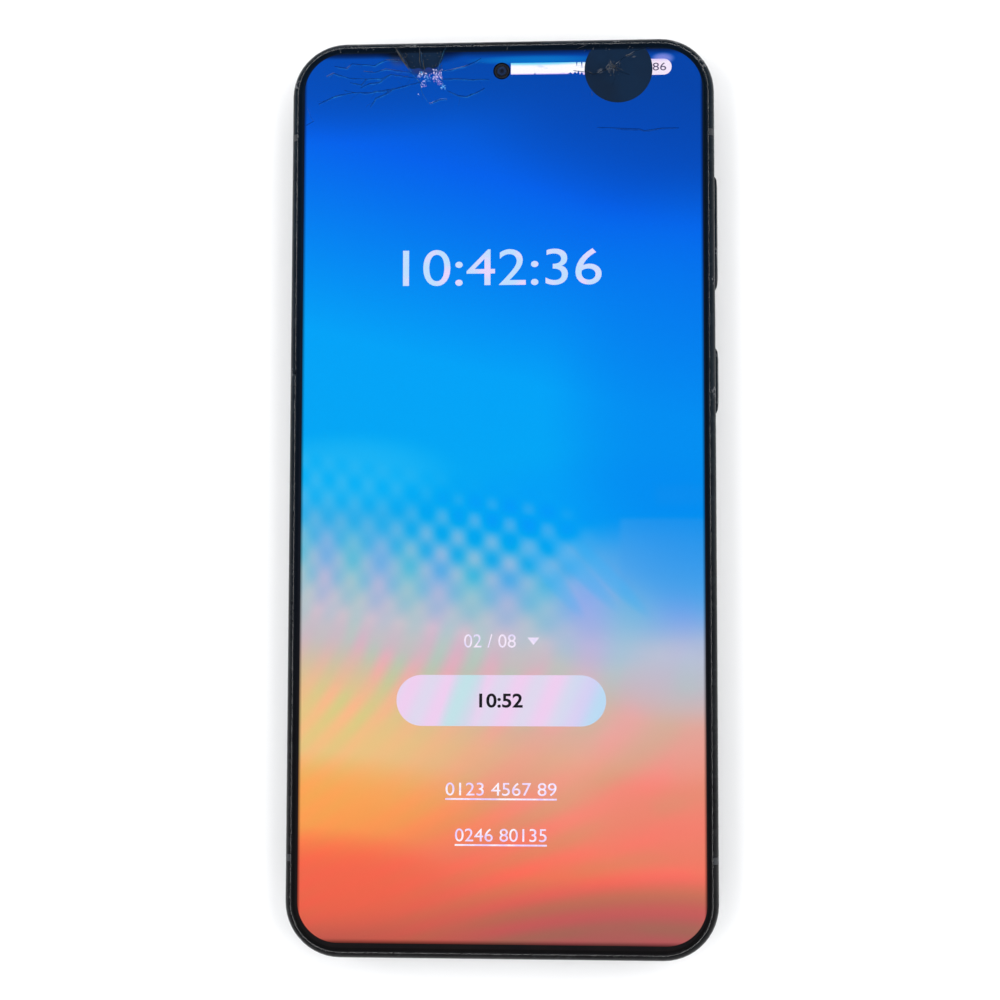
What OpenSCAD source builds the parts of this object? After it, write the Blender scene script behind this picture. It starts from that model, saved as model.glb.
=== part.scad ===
// Smartphone with a cracked cover glass, lying on its back with the screen up.
// Millimetres. +X is the side with the keys, +Y the top edge, +Z the screen side.
// z = 0 is the outer face of the camera island, on which the phone lies.

/* [Body] */
// Width of the frame across the flat sides, without the keys
body_w = 74.4; // [72:0.4:76]
// Length of the frame from bottom edge to top edge
body_l = 160; // [157:0.2:162]
// Radius of the frame's four corners seen from the front
corner_r = 9.5; // [9:0.1:10]
// How far the cover glass and back cover stand in from the frame's outline
rim = 1.0; // [0.9:0.05:1.1]
// How far the camera island stands out from the back cover
bump_h = 0.9; // [0.7:0.1:1.2]

/* [Screen] */
// Thickness of the cover glass
glass_t = 0.85; // [0.7:0.05:0.85]
// Radius of the front camera's hole in the display
camera_hole_r = 1.52; // [1.4:0.01:1.7]
// Distance of the front camera's centre from the middle of the body
camera_y = 74.4; // [74:0.1:74.6]
// Width of the open cracks in the cover glass
crack_w = 0.07; // [0.05:0.01:0.1]
// Depth of the open cracks below the top of the glass
crack_d = 0.3; // [0.2:0.05:0.5]

/* [Keys] */
// Length of the volume rocker
volume_l = 20.4; // [19:0.2:21]
// Middle of the volume rocker along the side
volume_y = 45.6; // [45:0.1:46]
// Length of the power key
power_l = 11.8; // [11:0.2:12.4]
// Middle of the power key along the side
power_y = 19.5; // [19:0.1:20]
// How far the keys stand out from the frame
key_proud = 0.55; // [0.4:0.05:0.6]

/* [Cameras] */
// Middle of the camera island across the back
island_x = 22; // [21.5:0.1:22]
// Middle of the camera island along the back
island_y = 54; // [53:0.1:54]
// Radius of the two large lens windows
lens_r = 5.2; // [5:0.1:5.3]

/* [Hidden] */
$fn = 48;
e = 0.01;

// heights above the back cover's outer face
frame_b = 0.35;
frame_t = 7.65;
back_t = 0.9;
ledge_b = 1.05;
plate_b = 5.4;
plate_t = 6.1;
ledge_f = 7.0;
glass_b = 8.0 - glass_t;
panel_b = 6.35;
panel_t = 7.1;
mid_z = 4.0;
// outlines
wall = 3.0;
cav_w = body_w - 2*wall;
cav_l = body_l - 2*wall;
cav_r = corner_r - wall;
in_w = body_w - 2*rim;
in_l = body_l - 2*rim;
in_r = corner_r - rim;
half_w = body_w/2;
half_l = body_l/2;
pcb_b = 2.6;
pcb_t = 3.3;
sub_b = 3.0;
sub_t = 3.7;
lens_x = island_x - 1.8;
main_y = island_y + 11.8;
wide_y = island_y - 1.0;
tele_y = island_y - 12.7;
flash_x = island_x + 5.8;
tray_x = -19;
upper_points = [[-31, 33.5], [-31, 58], [9.4, 47.5], [9.4, 60], [-8, 73], [-29.3, 70.2], [-4.4, 33]];
board_points = [[-15.3, -52.7], [-15.3, -73.4], [5.4, -60]];
post_points = [[-30.2, -71.5]];
ear_points = [[31, -53.6], [10.6, -53.6]];

// cracks, as points on the top of the glass: two blows at the top edge, and what runs from them
blow_a = [-14.5, 75];
blow_b = [19.4, 74.6];
cracks = [
  [[-18.4, 79], [-17, 76.5], [-15.8, 74.2], [-14.4, 72.5], [-14, 70.5], [-12.8, 68.6]],
  [[-9.9, 79], [-11, 76.2], [-11.2, 74.4], [-9.6, 70.9]],
  [[-14.5, 79], [-14.2, 76.6], [-13.8, 75.2]],
  [[-15.8, 74.2], [-20.4, 75], [-22.4, 74.4], [-24.4, 74.6]],
  [[-17, 76.5], [-20.5, 76.6], [-22.5, 75.6], [-26.5, 76]],
  [[-15, 73.2], [-19.6, 74], [-21.2, 73.2], [-24, 73.2], [-27, 73.4]],
  [[-19.6, 74], [-21.6, 72.6], [-23.4, 72.4], [-25, 71.6]],
  [[-24, 73.2], [-24.8, 72.2], [-26.8, 72.6]],
  [[-14.4, 72.5], [-19, 71.4], [-23.2, 70.8], [-26, 70.8], [-27.8, 71.2]],
  [[-26, 70.8], [-28.8, 70.4], [-30.8, 69.6], [-32.4, 68.8]],
  [[-19, 71.4], [-21.2, 70.2], [-22.2, 69.8], [-23.2, 68.2]],
  [[-27, 73.4], [-29.8, 74.4], [-31, 73.8]],
  [[-26.5, 76], [-27.4, 75.2], [-29.6, 75.6]],
  [[-11.2, 74.4], [-9, 74.6], [-6.6, 75.2], [-4.6, 76], [-3.6, 76.6]],
  [[-10.6, 73], [-7.4, 73], [-5, 72.8], [-2.2, 72.8]],
  [[-9.6, 70.9], [-7.6, 70], [-6.2, 69.8], [-4.2, 70.6], [-3, 71.2]],
  [[-12.8, 68.6], [-10.8, 69.4], [-9.6, 69.4]],
  [[12.6, 74.1], [14.8, 73.8], [16.2, 73.3], [17.4, 73.8], [19.4, 74.6]],
  [[19.4, 74.6], [21.4, 76.2], [23.4, 77.4], [26.8, 78.3]],
  [[19.4, 74.6], [21.2, 73.6], [22.4, 73.2]],
  [[19.4, 74.6], [18.6, 76.6], [19.3, 79]],
  [[19.4, 74.6], [20, 72.6], [19.4, 71.4]],
  [[13.7, 78.6], [15.2, 77.5]],
  [[15.4, 69.9], [15.6, 68.7]],
  [[16.8, 63.9], [20.4, 63.7], [24.2, 63.5], [25, 63.2], [28, 63.6], [31, 63.6]],
  [[-34.4, 68.4], [-33.8, 66.6], [-33.2, 65.8], [-34.6, 65]]
];
// small bites out of the glass's upper edge: centre, radius
chips = [[-16.6, 79.3, 0.55], [-13.2, 79.4, 0.5], [-10.4, 79.35, 0.45], [-27.6, 79.3, 0.4], [12.4, 79.4, 0.4],
  [-36.5, 21, 0.5], [36.55, 12, 0.35], [36.5, 35, 0.4]];

module rr(w, l, r) {
  square([w - 2*r, l], center = true);
  square([w, l - 2*r], center = true);
  for (sx = [-1, 1], sy = [-1, 1]) translate([sx*(w/2 - r), sy*(l/2 - r)]) circle(r);
}

module slab(w, l, r, z0, z1) translate([0, 0, z0]) linear_extrude(z1 - z0) rr(w, l, r);

module box(x0, x1, y0, y1, z0, z1) translate([x0, y0, z0]) cube([x1 - x0, y1 - y0, z1 - z0]);

module stadium(w, h) {
  square([w - h, h], center = true);
  for (s = [-1, 1]) translate([s*(w - h)/2, 0]) circle(h/2);
}

// a shape drawn in X and Z, drawn out along Y from y0 to y1
module along_y(y0, y1) translate([0, y1, 0]) rotate([90, 0, 0]) linear_extrude(y1 - y0) children();

module edge2(m, h, rb, rt) {
  translate([0, rb]) square([m, h - rb - rt]);
  if (rb > 0) {
    square([m - rb, rb]);
    intersection() {
      translate([m - rb, rb]) circle(rb);
      translate([m - rb, 0]) square([rb, rb]);
    }
  }
  if (rt > 0) {
    translate([0, h - rt]) square([m - rt, rt]);
    intersection() {
      translate([m - rt, h - rt]) circle(rt);
      translate([m - rt, h - rt]) square([rt, rt]);
    }
  }
}

// rounded slab whose lower and upper edges are rounded all round
module soft_slab(w, l, r, z0, z1, rb, rt, m) {
  h = z1 - z0;
  translate([0, 0, z0]) {
    linear_extrude(h) rr(w - 2*m, l - 2*m, r - m);
    for (a = [0, 180]) rotate([0, 0, a])
      translate([w/2 - m, l/2 - r, 0]) rotate([90, 0, 0]) linear_extrude(l - 2*r) edge2(m, h, rb, rt);
    for (a = [90, 270]) rotate([0, 0, a])
      translate([l/2 - m, w/2 - r, 0]) rotate([90, 0, 0]) linear_extrude(w - 2*r) edge2(m, h, rb, rt);
    for (c = [[1, 1, 0], [-1, 1, 90], [-1, -1, 180], [1, -1, 270]])
      translate([c[0]*(w/2 - r), c[1]*(l/2 - r), 0]) rotate([0, 0, c[2]])
        rotate_extrude(angle = 90) translate([r - m, 0]) edge2(m, h, rb, rt);
  }
}

module lift() translate([0, 0, bump_h]) children();

module rail_body() soft_slab(body_w, body_l, corner_r, frame_b, frame_t, 2.0, 1.7, 2.3);

module break_bands() {
  for (s = [-1, 1]) {
    box(s*half_w - 3, s*half_w + 3, 62.4, 63.6, -1, 9);
    box(s*half_w - 3, s*half_w + 3, -63.6, -62.4, -1, 9);
  }
}

module key_pocket(y, l) {
  // outer slot for the cap, inner room for its flange
  translate([half_w - 1.5, y, mid_z]) rotate([0, 90, 0]) linear_extrude(3) rotate([0, 0, 90]) stadium(l + 0.24, 2.44);
  box(half_w - wall - 0.5, half_w - 1.3, y - l/2 - 0.85, y + l/2 + 0.85, mid_z - 1.65, mid_z + 1.65);
}

module frame() color([0.03, 0.035, 0.045]) lift() {
  difference() {
    union() {
      difference() {
        rail_body();
        slab(in_w + 0.1, in_l + 0.1, in_r + 0.05, ledge_f, 9);
        slab(70.6, 156.1, 7.4, plate_t, 9);
        slab(in_w + 0.1, in_l + 0.1, in_r + 0.05, -1, ledge_b);
        slab(cav_w, cav_l, cav_r, -1, plate_b);
        break_bands();
      }
      // bosses, posts and the ribs round the battery
      for (p = upper_points) translate([p[0], p[1], pcb_t]) cylinder(h = plate_b - pcb_t + 0.1, r = 1.7);
      for (p = board_points) translate([p[0], p[1], sub_t]) cylinder(h = plate_b - sub_t + 0.1, r = 1.7);
      for (p = post_points) translate([p[0], p[1], 1.9]) cylinder(h = plate_b - 1.9 + 0.1, r = 1.7);
      for (p = ear_points) translate([p[0], p[1], 2.5]) cylinder(h = plate_b - 2.5 + 0.1, r = 1.7);
      box(26.9, 27.7, -47.3, 28.1, 2.2, plate_b + 0.1);
      box(-33.6, 26.95, 27.3, 28.1, 2.2, plate_b + 0.1);
      box(-33.6, 27.7, -48.1, -47.3, 2.2, plate_b + 0.1);
    }
    for (p = concat(upper_points, board_points)) translate([p[0], p[1], 3]) cylinder(h = 2.2, r = 0.71);
    for (p = concat(post_points, ear_points)) translate([p[0], p[1], 1]) cylinder(h = 4, r = 0.71);
    // front camera
    translate([0, camera_y, 5]) cylinder(h = 2, r = 2.7);
    // keys
    key_pocket(volume_y, volume_l);
    key_pocket(power_y, power_l);
    // USB socket, its room in the plate, and the sound holes beside it
    translate([0, 0, mid_z]) along_y(-81, -76.5) stadium(9.1, 3.32);
    box(-4.8, 4.8, -77.2, -69.6, 5, 5.72);
    for (i = [0:5]) translate([12.6 + 2.1*i, -76.5, mid_z]) rotate([90, 0, 0]) cylinder(h = 4, r = 0.65);
    translate([-11, -76.5, mid_z]) rotate([90, 0, 0]) cylinder(h = 4, r = 0.5);
    // card tray and the eject pin's hole
    translate([tray_x, 0, mid_z]) along_y(77.6, 81) stadium(12.16, 2.76);
    box(tray_x - 5.4, tray_x + 5.4, 76.5, 77.7, mid_z - 0.75, mid_z + 0.75);
    translate([-10.9, 81, mid_z]) rotate([90, 0, 0]) cylinder(h = 4.5, r = 0.45);
    // top microphone
    translate([14, 81, mid_z]) rotate([90, 0, 0]) cylinder(h = 4.5, r = 0.4);
    // earpiece slit above the glass and its duct
    box(-4.8, 6.8, 79.0, 79.45, ledge_f - 0.1, 9);
    box(4.6, 6.6, 76.6, 79.45, 4.2, ledge_f);
    // slot for the display's flex
    box(-16.2, -6.8, -62.3, -60.9, 5, 6.5);
  }
}

module antenna_breaks() color([0.05, 0.05, 0.055]) lift() difference() {
  intersection() {
    rail_body();
    break_bands();
  }
  slab(in_w + 0.1, in_l + 0.1, in_r + 0.05, ledge_f, 9);
  slab(70.6, 156.1, 7.4, plate_t, 9);
  slab(in_w + 0.1, in_l + 0.1, in_r + 0.05, -1, ledge_b);
  slab(cav_w, cav_l, cav_r, -1, plate_b);
  box(-35, 35, -80, 80, plate_b - 0.1, plate_t + 0.1);
}

module crack(points) for (i = [0:len(points) - 2]) {
  a = points[i];
  b = points[i + 1];
  d = b - a;
  translate([a[0], a[1], 8 - crack_d]) rotate([0, 0, atan2(d[1], d[0])])
    translate([-crack_w/3, -crack_w/2, 0]) cube([norm(d) + crack_w*2/3, crack_w, 1]);
}

module cover_glass() color([0.75, 0.85, 0.9, 0.25]) lift() difference() {
  soft_slab(in_w, in_l, in_r, glass_b, 8, 0, 0.5, 1.2);
  for (c = cracks) crack(c);
  for (c = chips) translate([c[0], c[1], 7.72]) cylinder(h = 1, r1 = c[2], r2 = c[2] + 0.3);
}

module display_panel() color([0.05, 0.35, 0.85]) lift() difference() {
  translate([0, 0.05, 0]) slab(70.4, 155.9, 7.3, panel_b, panel_t);
  translate([0, camera_y, panel_b - 1]) cylinder(h = 3, r = camera_hole_r);
}

module display_backing() color([0.1, 0.1, 0.1]) lift() difference() {
  slab(69.6, 154.6, 6.8, plate_t, panel_b);
  translate([0, camera_y, plate_t - 1]) cylinder(h = 3, r = 1.9);
  box(-16.2, -6.8, -62.3, -57.6, 6, 7);
}

module display_seal() color([0.08, 0.08, 0.08]) lift() difference() {
  slab(72.2, 157.8, 8.4, ledge_f, glass_b);
  slab(70.8, 156.3, 7.5, ledge_f - 1, glass_b + 1);
}

module display_flex() color([0.75, 0.45, 0.15]) lift() {
  box(-16, -7, -61.7, -57.8, 6.2, panel_b);
  box(-16, -7, -61.7, -61.55, 4.15, 6.2 + e);
  box(-16, -7, -61.7, -56.6, 4.15, 4.3);
}

module earpiece() color([0.2, 0.2, 0.21]) lift() {
  translate([8.3, 73.4, 0]) slab(8, 6.4, 0.8, 2.9, 5);
  translate([8.3, 73.4, 0]) slab(7, 5.4, 0.6, 5, plate_b);
}

module earpiece_mesh() color([0.12, 0.12, 0.12]) lift() box(-4.8, 6.8, 79.0, 79.45, ledge_f - 0.1, ledge_f + 0.05);

module front_camera() color([0.06, 0.06, 0.07]) lift() {
  difference() {
    union() {
      box(-3.3, 3.3, 70.4, 76.8, 2.6, plate_b);
      translate([0, camera_y, plate_b - e]) cylinder(h = 0.65, r = 2.5);
      translate([0, camera_y, plate_b - e]) cylinder(h = 1.6, r = 1.3);
    }
    translate([0, camera_y, 6.6]) cylinder(h = 0.4, r1 = 0.4, r2 = 1.2);
  }
}

module back_cover() color([0.04, 0.045, 0.06]) lift() difference() {
  soft_slab(in_w, in_l, in_r, 0, back_t, 0.7, 0, 1.2);
  translate([island_x, island_y, 0]) slab(19.1, 43.1, 5.05, -1, 2);
}

module back_seal() color([0.08, 0.08, 0.08]) lift() difference() {
  slab(72.0, 157.6, 8.3, back_t, ledge_b);
  slab(69.4, 154.6, 7.2, 0, 2);
}

module lens_well(x, y, r) translate([x, y, 0]) {
  translate([0, 0, -2]) cylinder(h = 2 - 0.35, r = r + 0.02);
  translate([0, 0, -1]) cylinder(h = 3, r = r - 0.6);
}

module camera_bezel() color([0.03, 0.03, 0.035]) lift() difference() {
  translate([island_x, island_y, 0]) union() {
    soft_slab(19, 43, 5, -bump_h, back_t, 0.4, 0, 1.2);
    slab(20.4, 44.2, 5.7, back_t, 1.3);
  }
  lens_well(lens_x, main_y, lens_r);
  lens_well(lens_x, wide_y, lens_r);
  lens_well(lens_x, tele_y, 4.2);
  lens_well(flash_x, main_y, 2.1);
  translate([flash_x, main_y - 7, -2]) cylinder(h = 4, r = 0.4);
}

module window(x, y, r) lift() translate([x, y, -bump_h + 0.05]) cylinder(h = 0.5, r = r);
module main_lens_window() color([0.2, 0.25, 0.3, 0.4]) window(lens_x, main_y, lens_r);
module wide_lens_window() color([0.2, 0.25, 0.3, 0.4]) window(lens_x, wide_y, lens_r);
module tele_lens_window() color([0.2, 0.25, 0.3, 0.4]) window(lens_x, tele_y, 4.2);
module flash_window() color([0.9, 0.9, 0.85, 0.6]) window(flash_x, main_y, 2.1);

// square housing with a stepped lens barrel that looks out of the back, and a ribbon to the board
module camera_module(x, y, s, r, ribbon) lift() {
  difference() {
    union() {
      translate([x, y, 0]) slab(s, s, 0.8, 1.4, plate_b);
      translate([x, y, -0.2]) cylinder(h = 1.6 + e, r = r);
    }
    translate([x, y, -1]) cylinder(h = 1.1, r = r - 0.9);
    translate([x, y, 0.1 - e]) cylinder(h = 0.7, r1 = r - 0.9, r2 = r*0.42);
  }
  box(8.5, x - s/2 + e, y - ribbon/2, y + ribbon/2, 2.0, 2.15);
}
module main_camera() color([0.08, 0.08, 0.1]) camera_module(lens_x, main_y, 12.4, 4.4, 6);
module wide_camera() color([0.08, 0.08, 0.1]) camera_module(lens_x, wide_y, 11.6, 4.2, 6);
module tele_camera() color([0.08, 0.08, 0.1]) camera_module(lens_x, tele_y, 8.6, 3.2, 5);

module flash_led() color([0.95, 0.85, 0.4]) lift() {
  box(lens_x + 6.2, flash_x + 1.6, main_y - 1.6, main_y + 1.6, 1.5, 2.0);
  translate([flash_x, main_y, 0.4]) cylinder(h = 1.1 + e, r = 1.3);
}

module screw_holes(points, r) for (p = points) translate([p[0], p[1], -1]) cylinder(h = 9, r = r);

module main_board() color([0.05, 0.3, 0.2]) lift() difference() {
  translate([0, 0, pcb_b]) linear_extrude(pcb_t - pcb_b) polygon([[-33.4, 30.2], [11.9, 30.2], [11.9, 69.8],
    [-4.4, 69.8], [-4.4, 76.2], [-27, 76.2], [-31.5, 74], [-33.4, 69.5]]);
  screw_holes(upper_points, 0.85);
}

// folded sheet-metal lid, open towards the board
module can(x0, x1, y0, y1, z0, z1, up) difference() {
  box(x0, x1, y0, y1, z0, z1);
  if (up) box(x0 + 0.2, x1 - 0.2, y0 + 0.2, y1 - 0.2, z0 - 1, z1 - 0.2);
  else box(x0 + 0.2, x1 - 0.2, y0 + 0.2, y1 - 0.2, z0 + 0.2, z1 + 1);
}
module front_shield() color([0.75, 0.75, 0.74]) lift() can(-9.5, 7.5, 36.5, 66.5, pcb_t, 4.9, true);
module rear_shield() color([0.75, 0.75, 0.74]) lift() can(-25, -3, 38, 64, 1.5, pcb_b, false);
module processor() color([0.12, 0.12, 0.13]) lift() box(-8.5, 6.5, 48.5, 63.5, pcb_t, 4.4);
module storage_chip() color([0.12, 0.12, 0.13]) lift() box(-7, 4.5, 38.4, 46.4, pcb_t, 4.2);
module power_chip() color([0.12, 0.12, 0.13]) lift() box(-20, -11, 47, 56, 1.9, pcb_b);

module board_connectors() color([0.2, 0.18, 0.15]) lift() {
  box(-14.5, -7.5, 31.4, 33.8, 2.15, pcb_b);
  box(-1.2, 7.2, 31.4, 33.8, 2.15, pcb_b);
  box(8.4, 10.8, main_y - 3, main_y + 3, 2.15, pcb_b);
  box(8.4, 10.8, wide_y - 3, wide_y + 3, 2.15, pcb_b);
  box(8.4, 10.8, tele_y - 2.5, tele_y + 2.5, 2.15, pcb_b);
  box(-1.2, 7.2, -54.2, -51.8, 2.55, sub_b);
  box(-15.8, -7.2, -59.2, -56.8, sub_t, 4.15);
}

// plastic cover plate with a counterbored boss round every screw
module bracket_plate(points, foot) {
  for (p = points) translate([p[0], p[1], 1.2]) cylinder(h = foot - 1.2, r = 1.7);
}
module bracket_holes(points) for (p = points) {
  translate([p[0], p[1], 0]) cylinder(h = 9, r = 0.85);
  translate([p[0], p[1], 0]) cylinder(h = 1.5, r = 1.35);
}
module upper_bracket() color([0.1, 0.1, 0.11]) lift() difference() {
  union() {
    translate([0, 0, 0.95]) linear_extrude(0.4) polygon([[-33.2, 30.6], [11.6, 30.6], [11.6, 69.4],
      [-4.6, 69.4], [-4.6, 76], [-26.8, 76], [-31.3, 73.8], [-33.2, 69.3]]);
    bracket_plate(upper_points, pcb_b);
  }
  bracket_holes(upper_points);
}

module screw(x, y, l) lift() translate([x, y, 1.0]) difference() {
  union() {
    cylinder(h = 0.5, r = 1.25);
    cylinder(h = 0.5 + l, r = 0.68);
  }
  for (a = [0, 90]) rotate([0, 0, a]) translate([-0.75, -0.14, -1]) cube([1.5, 0.28, 1.25]);
}
module upper_screws() color([0.5, 0.5, 0.52]) for (p = upper_points) screw(p[0], p[1], 3.5);

module battery() color([0.16, 0.17, 0.19]) lift() {
  translate([-3.4, -10, 0]) soft_slab(60, 73.6, 2.2, 1.25, plate_b, 1.0, 1.0, 2);
}
module battery_flex() color([0.75, 0.45, 0.15]) lift() box(-14, -8, 26.8, 33.6, 2.0, 2.15);

module main_flex() color([0.75, 0.45, 0.15]) lift() {
  box(-1, 7, 30.2, 33.6, 2.0, 2.15);
  box(-1, 7, 30.05, 30.2 + e, 1.0, 2.15);
  box(-1, 7, -50.35, 30.2, 1.0, 1.15);
  box(-1, 7, -50.35, -50.2, 1.0, 2.55);
  box(-1, 7, -54, -50.2 - e, 2.4, 2.55);
}

// thin flat lead along the battery, a snap plug on each end
module lead_bend(x, y, a) translate([x, y]) rotate(a) intersection() {
  difference() {
    circle(2.45);
    circle(1.55);
  }
  square(3);
}
module antenna_cable() color([0.85, 0.85, 0.82]) lift() {
  translate([0, 0, 1.65]) linear_extrude(0.8) {
    translate([9.15, 32.9]) square([0.9, 3.5]);
    lead_bend(11.6, 32.9, 180);
    translate([11.6, 30.45]) square([16.4, 0.9]);
    lead_bend(28, 28.9, 0);
    translate([29.55, -47.7]) square([0.9, 76.6]);
    lead_bend(28, -47.7, 270);
    translate([-8, -50.15]) square([36, 0.9]);
    lead_bend(-8, -51.7, 90);
    translate([-10.45, -53.9]) square([0.9, 2.2]);
  }
  translate([9.6, 36.4, 1.6]) cylinder(h = 1.0, r = 1.0);
  translate([-10, -53.9, 1.6]) cylinder(h = 1.4, r = 1.0);
}

module sub_board() color([0.05, 0.3, 0.2]) lift() difference() {
  translate([0, 0, sub_b]) linear_extrude(sub_t - sub_b) polygon([[-17.4, -50.6], [7.4, -50.6], [7.4, -76],
    [4.75, -76], [4.75, -69.2], [-4.75, -69.2], [-4.75, -76], [-17.4, -76]]);
  screw_holes(board_points, 0.85);
}

module usb_socket() color([0.6, 0.6, 0.62]) lift() {
  translate([0, 0, mid_z]) difference() {
    along_y(-79.7, -70.3) stadium(8.94, 3.16);
    along_y(-81, -72) stadium(8.34, 2.56);
  }
  box(-3.35, 3.35, -78.8, -71.9, mid_z - 0.35, mid_z + 0.35);
  for (s = [-1, 1]) {
    box(s > 0 ? 3.9 : -5.6, s > 0 ? 5.6 : -3.9, -75.2, -73.4, 2.7, sub_b);
  }
  for (i = [0:11]) box(-2.875 + 0.5*i, -2.625 + 0.5*i, -70.4, -68.4, 2.8, sub_b);
}

module usb_seal() color([0.1, 0.1, 0.1]) lift() translate([0, 0, mid_z]) difference() {
  along_y(-77, -76.3) stadium(9.4, 3.42);
  along_y(-78, -75) stadium(8.94, 3.16);
}

module bottom_mic() color([0.8, 0.75, 0.55]) lift() box(-12.6, -9.4, -75.9, -73.6, sub_t, 4.7);

module loudspeaker() color([0.13, 0.13, 0.14]) lift() difference() {
  union() {
    translate([0, 0, 1.25]) linear_extrude(4) polygon([[8.4, -76.2], [26.8, -76.2], [31, -74.4], [33.1, -70],
      [33.1, -56], [8.4, -56]]);
    box(11.6, 24.2, -76.8, -76.1, 2.9, 5.1);
    for (p = ear_points) box(p[0] - 2.1, p[0] + 2.1, -56.1, -51.8, 1.5, 2.5);
  }
  translate([20.5, -66, 0]) slab(15, 12, 2.5, 0, 1.6);
  for (p = ear_points) translate([p[0], p[1], 0]) cylinder(h = 4, r = 0.85);
}
module speaker_mesh() color([0.2, 0.2, 0.2]) lift() box(11.4, 24.4, -77, -76.8, 2.8, 5.2);

module vibration_motor() color([0.7, 0.7, 0.7]) lift() {
  translate([-25.5, -59, 0]) slab(12, 14, 1.2, 1.7, plate_b);
  translate([-25.5, -59, 0]) slab(9, 11, 0.8, 1.5, 1.75);
}

module lower_bracket() color([0.1, 0.1, 0.11]) lift() difference() {
  union() {
    translate([0, 0, 0.95]) linear_extrude(0.4) polygon([[-33.2, -51], [7.9, -51], [7.9, -76], [-26.8, -76],
      [-31.3, -73.8], [-33.2, -69.3]]);
    bracket_plate(board_points, sub_b);
    bracket_plate(post_points, 1.9);
  }
  bracket_holes(concat(board_points, post_points));
}
module lower_screws() color([0.5, 0.5, 0.52]) {
  for (p = board_points) screw(p[0], p[1], 3.5);
  for (p = concat(post_points, ear_points)) screw(p[0], p[1], 3.2);
}

module sim_reader() color([0.72, 0.72, 0.7]) lift() difference() {
  box(tray_x - 6.8, tray_x + 6.8, 56.5, 76, pcb_t, 4.75);
  box(tray_x - 5.5, tray_x + 5.5, 57.1, 77, 3.48, 4.56);
  box(tray_x + 5.8, tray_x + 6.5, 58, 77, 3.6, 4.4);
}

module sim_tray() color([0.03, 0.035, 0.045]) lift() difference() {
  union() {
    translate([tray_x, 0, mid_z]) along_y(78.35, half_l) stadium(12, 2.6);
    box(tray_x - 5.3, tray_x + 5.3, 77, 78.4, mid_z - 0.65, mid_z + 0.65);
    box(tray_x - 5.3, tray_x + 5.3, 57.6, 77.1, mid_z - 0.45, mid_z + 0.45);
  }
  // seat of the card, 12.3 by 8.8 and 0.67 thick, open below for its contacts
  box(tray_x - 4.45, tray_x + 4.45, 59.2, 71.6, mid_z - 0.25, mid_z + 1);
  box(tray_x - 3.7, tray_x + 3.7, 60.1, 70.7, mid_z - 1, mid_z + 1);
}
module sim_seal() color([0.12, 0.12, 0.12]) lift() difference() {
  translate([tray_x, 0, mid_z]) along_y(77.75, 78.35) stadium(12.02, 2.62);
  box(tray_x - 5.3, tray_x + 5.3, 77, 79, mid_z - 0.65, mid_z + 0.65);
}

// key cap with a crowned face, the flange that keeps it in, and its plungers
module key(y, l, plungers) color([0.03, 0.035, 0.045]) lift() translate([0, y, mid_z]) {
  intersection() {
    translate([half_w - 1.9, 0, 0]) rotate([0, 90, 0]) linear_extrude(1.9 + key_proud) rotate([0, 0, 90]) stadium(l, 2.2);
    translate([half_w + key_proud - 2.4, 0, 0]) rotate([90, 0, 0]) cylinder(h = l + 2, r = 2.4, center = true);
    translate([half_w, 0, -2]) linear_extrude(4) polygon([[-3, -l/2], [0, -l/2], [key_proud*0.75, -l/2 + 0.9],
      [key_proud, -l/2 + 2.2], [key_proud, l/2 - 2.2], [key_proud*0.75, l/2 - 0.9], [0, l/2], [-3, l/2]]);
  }
  box(half_w - 2.15, half_w - 1.6, -l/2 - 0.5, l/2 + 0.5, -1.35, 1.35);
  for (p = plungers) translate([half_w - 2.7, p, 0]) rotate([0, 90, 0]) cylinder(h = 0.6, r = 0.7);
}
module volume_key() key(volume_y, volume_l, [-6.4, 6.4]);
module power_key() key(power_y, power_l, [0]);

module key_switches() color([0.75, 0.45, 0.15]) lift() {
  box(33.2, 33.35, 13.4, 57.4, 2.6, 5.3);
  for (y = [volume_y - 6.4, volume_y + 6.4, power_y]) {
    box(33.35, 33.8, y - 1.6, y + 1.6, 2.7, 5.2);
    translate([33.8, y, mid_z]) rotate([0, 90, 0]) cylinder(h = 0.3, r1 = 1.1, r2 = 0.6);
  }
}
module key_stiffener() color([0.65, 0.65, 0.67]) lift() box(32.85, 33.2, 12.6, 58.2, 1.7, plate_b);

frame();
antenna_breaks();
cover_glass();
display_panel();
display_backing();
display_seal();
display_flex();
earpiece();
earpiece_mesh();
front_camera();
back_cover();
back_seal();
camera_bezel();
main_lens_window();
wide_lens_window();
tele_lens_window();
flash_window();
main_camera();
wide_camera();
tele_camera();
flash_led();
main_board();
front_shield();
rear_shield();
processor();
storage_chip();
power_chip();
board_connectors();
upper_bracket();
upper_screws();
battery();
battery_flex();
main_flex();
antenna_cable();
sub_board();
usb_socket();
usb_seal();
bottom_mic();
loudspeaker();
speaker_mesh();
vibration_motor();
lower_bracket();
lower_screws();
sim_reader();
sim_tray();
sim_seal();
volume_key();
power_key();
key_switches();
key_stiffener();
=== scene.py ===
# Looks of the cracked phone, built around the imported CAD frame. Lengths in the helpers are in millimetres.
import math
import random

import bmesh
import bpy
from mathutils import Matrix, Vector
from mathutils.geometry import tessellate_polygon


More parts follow.
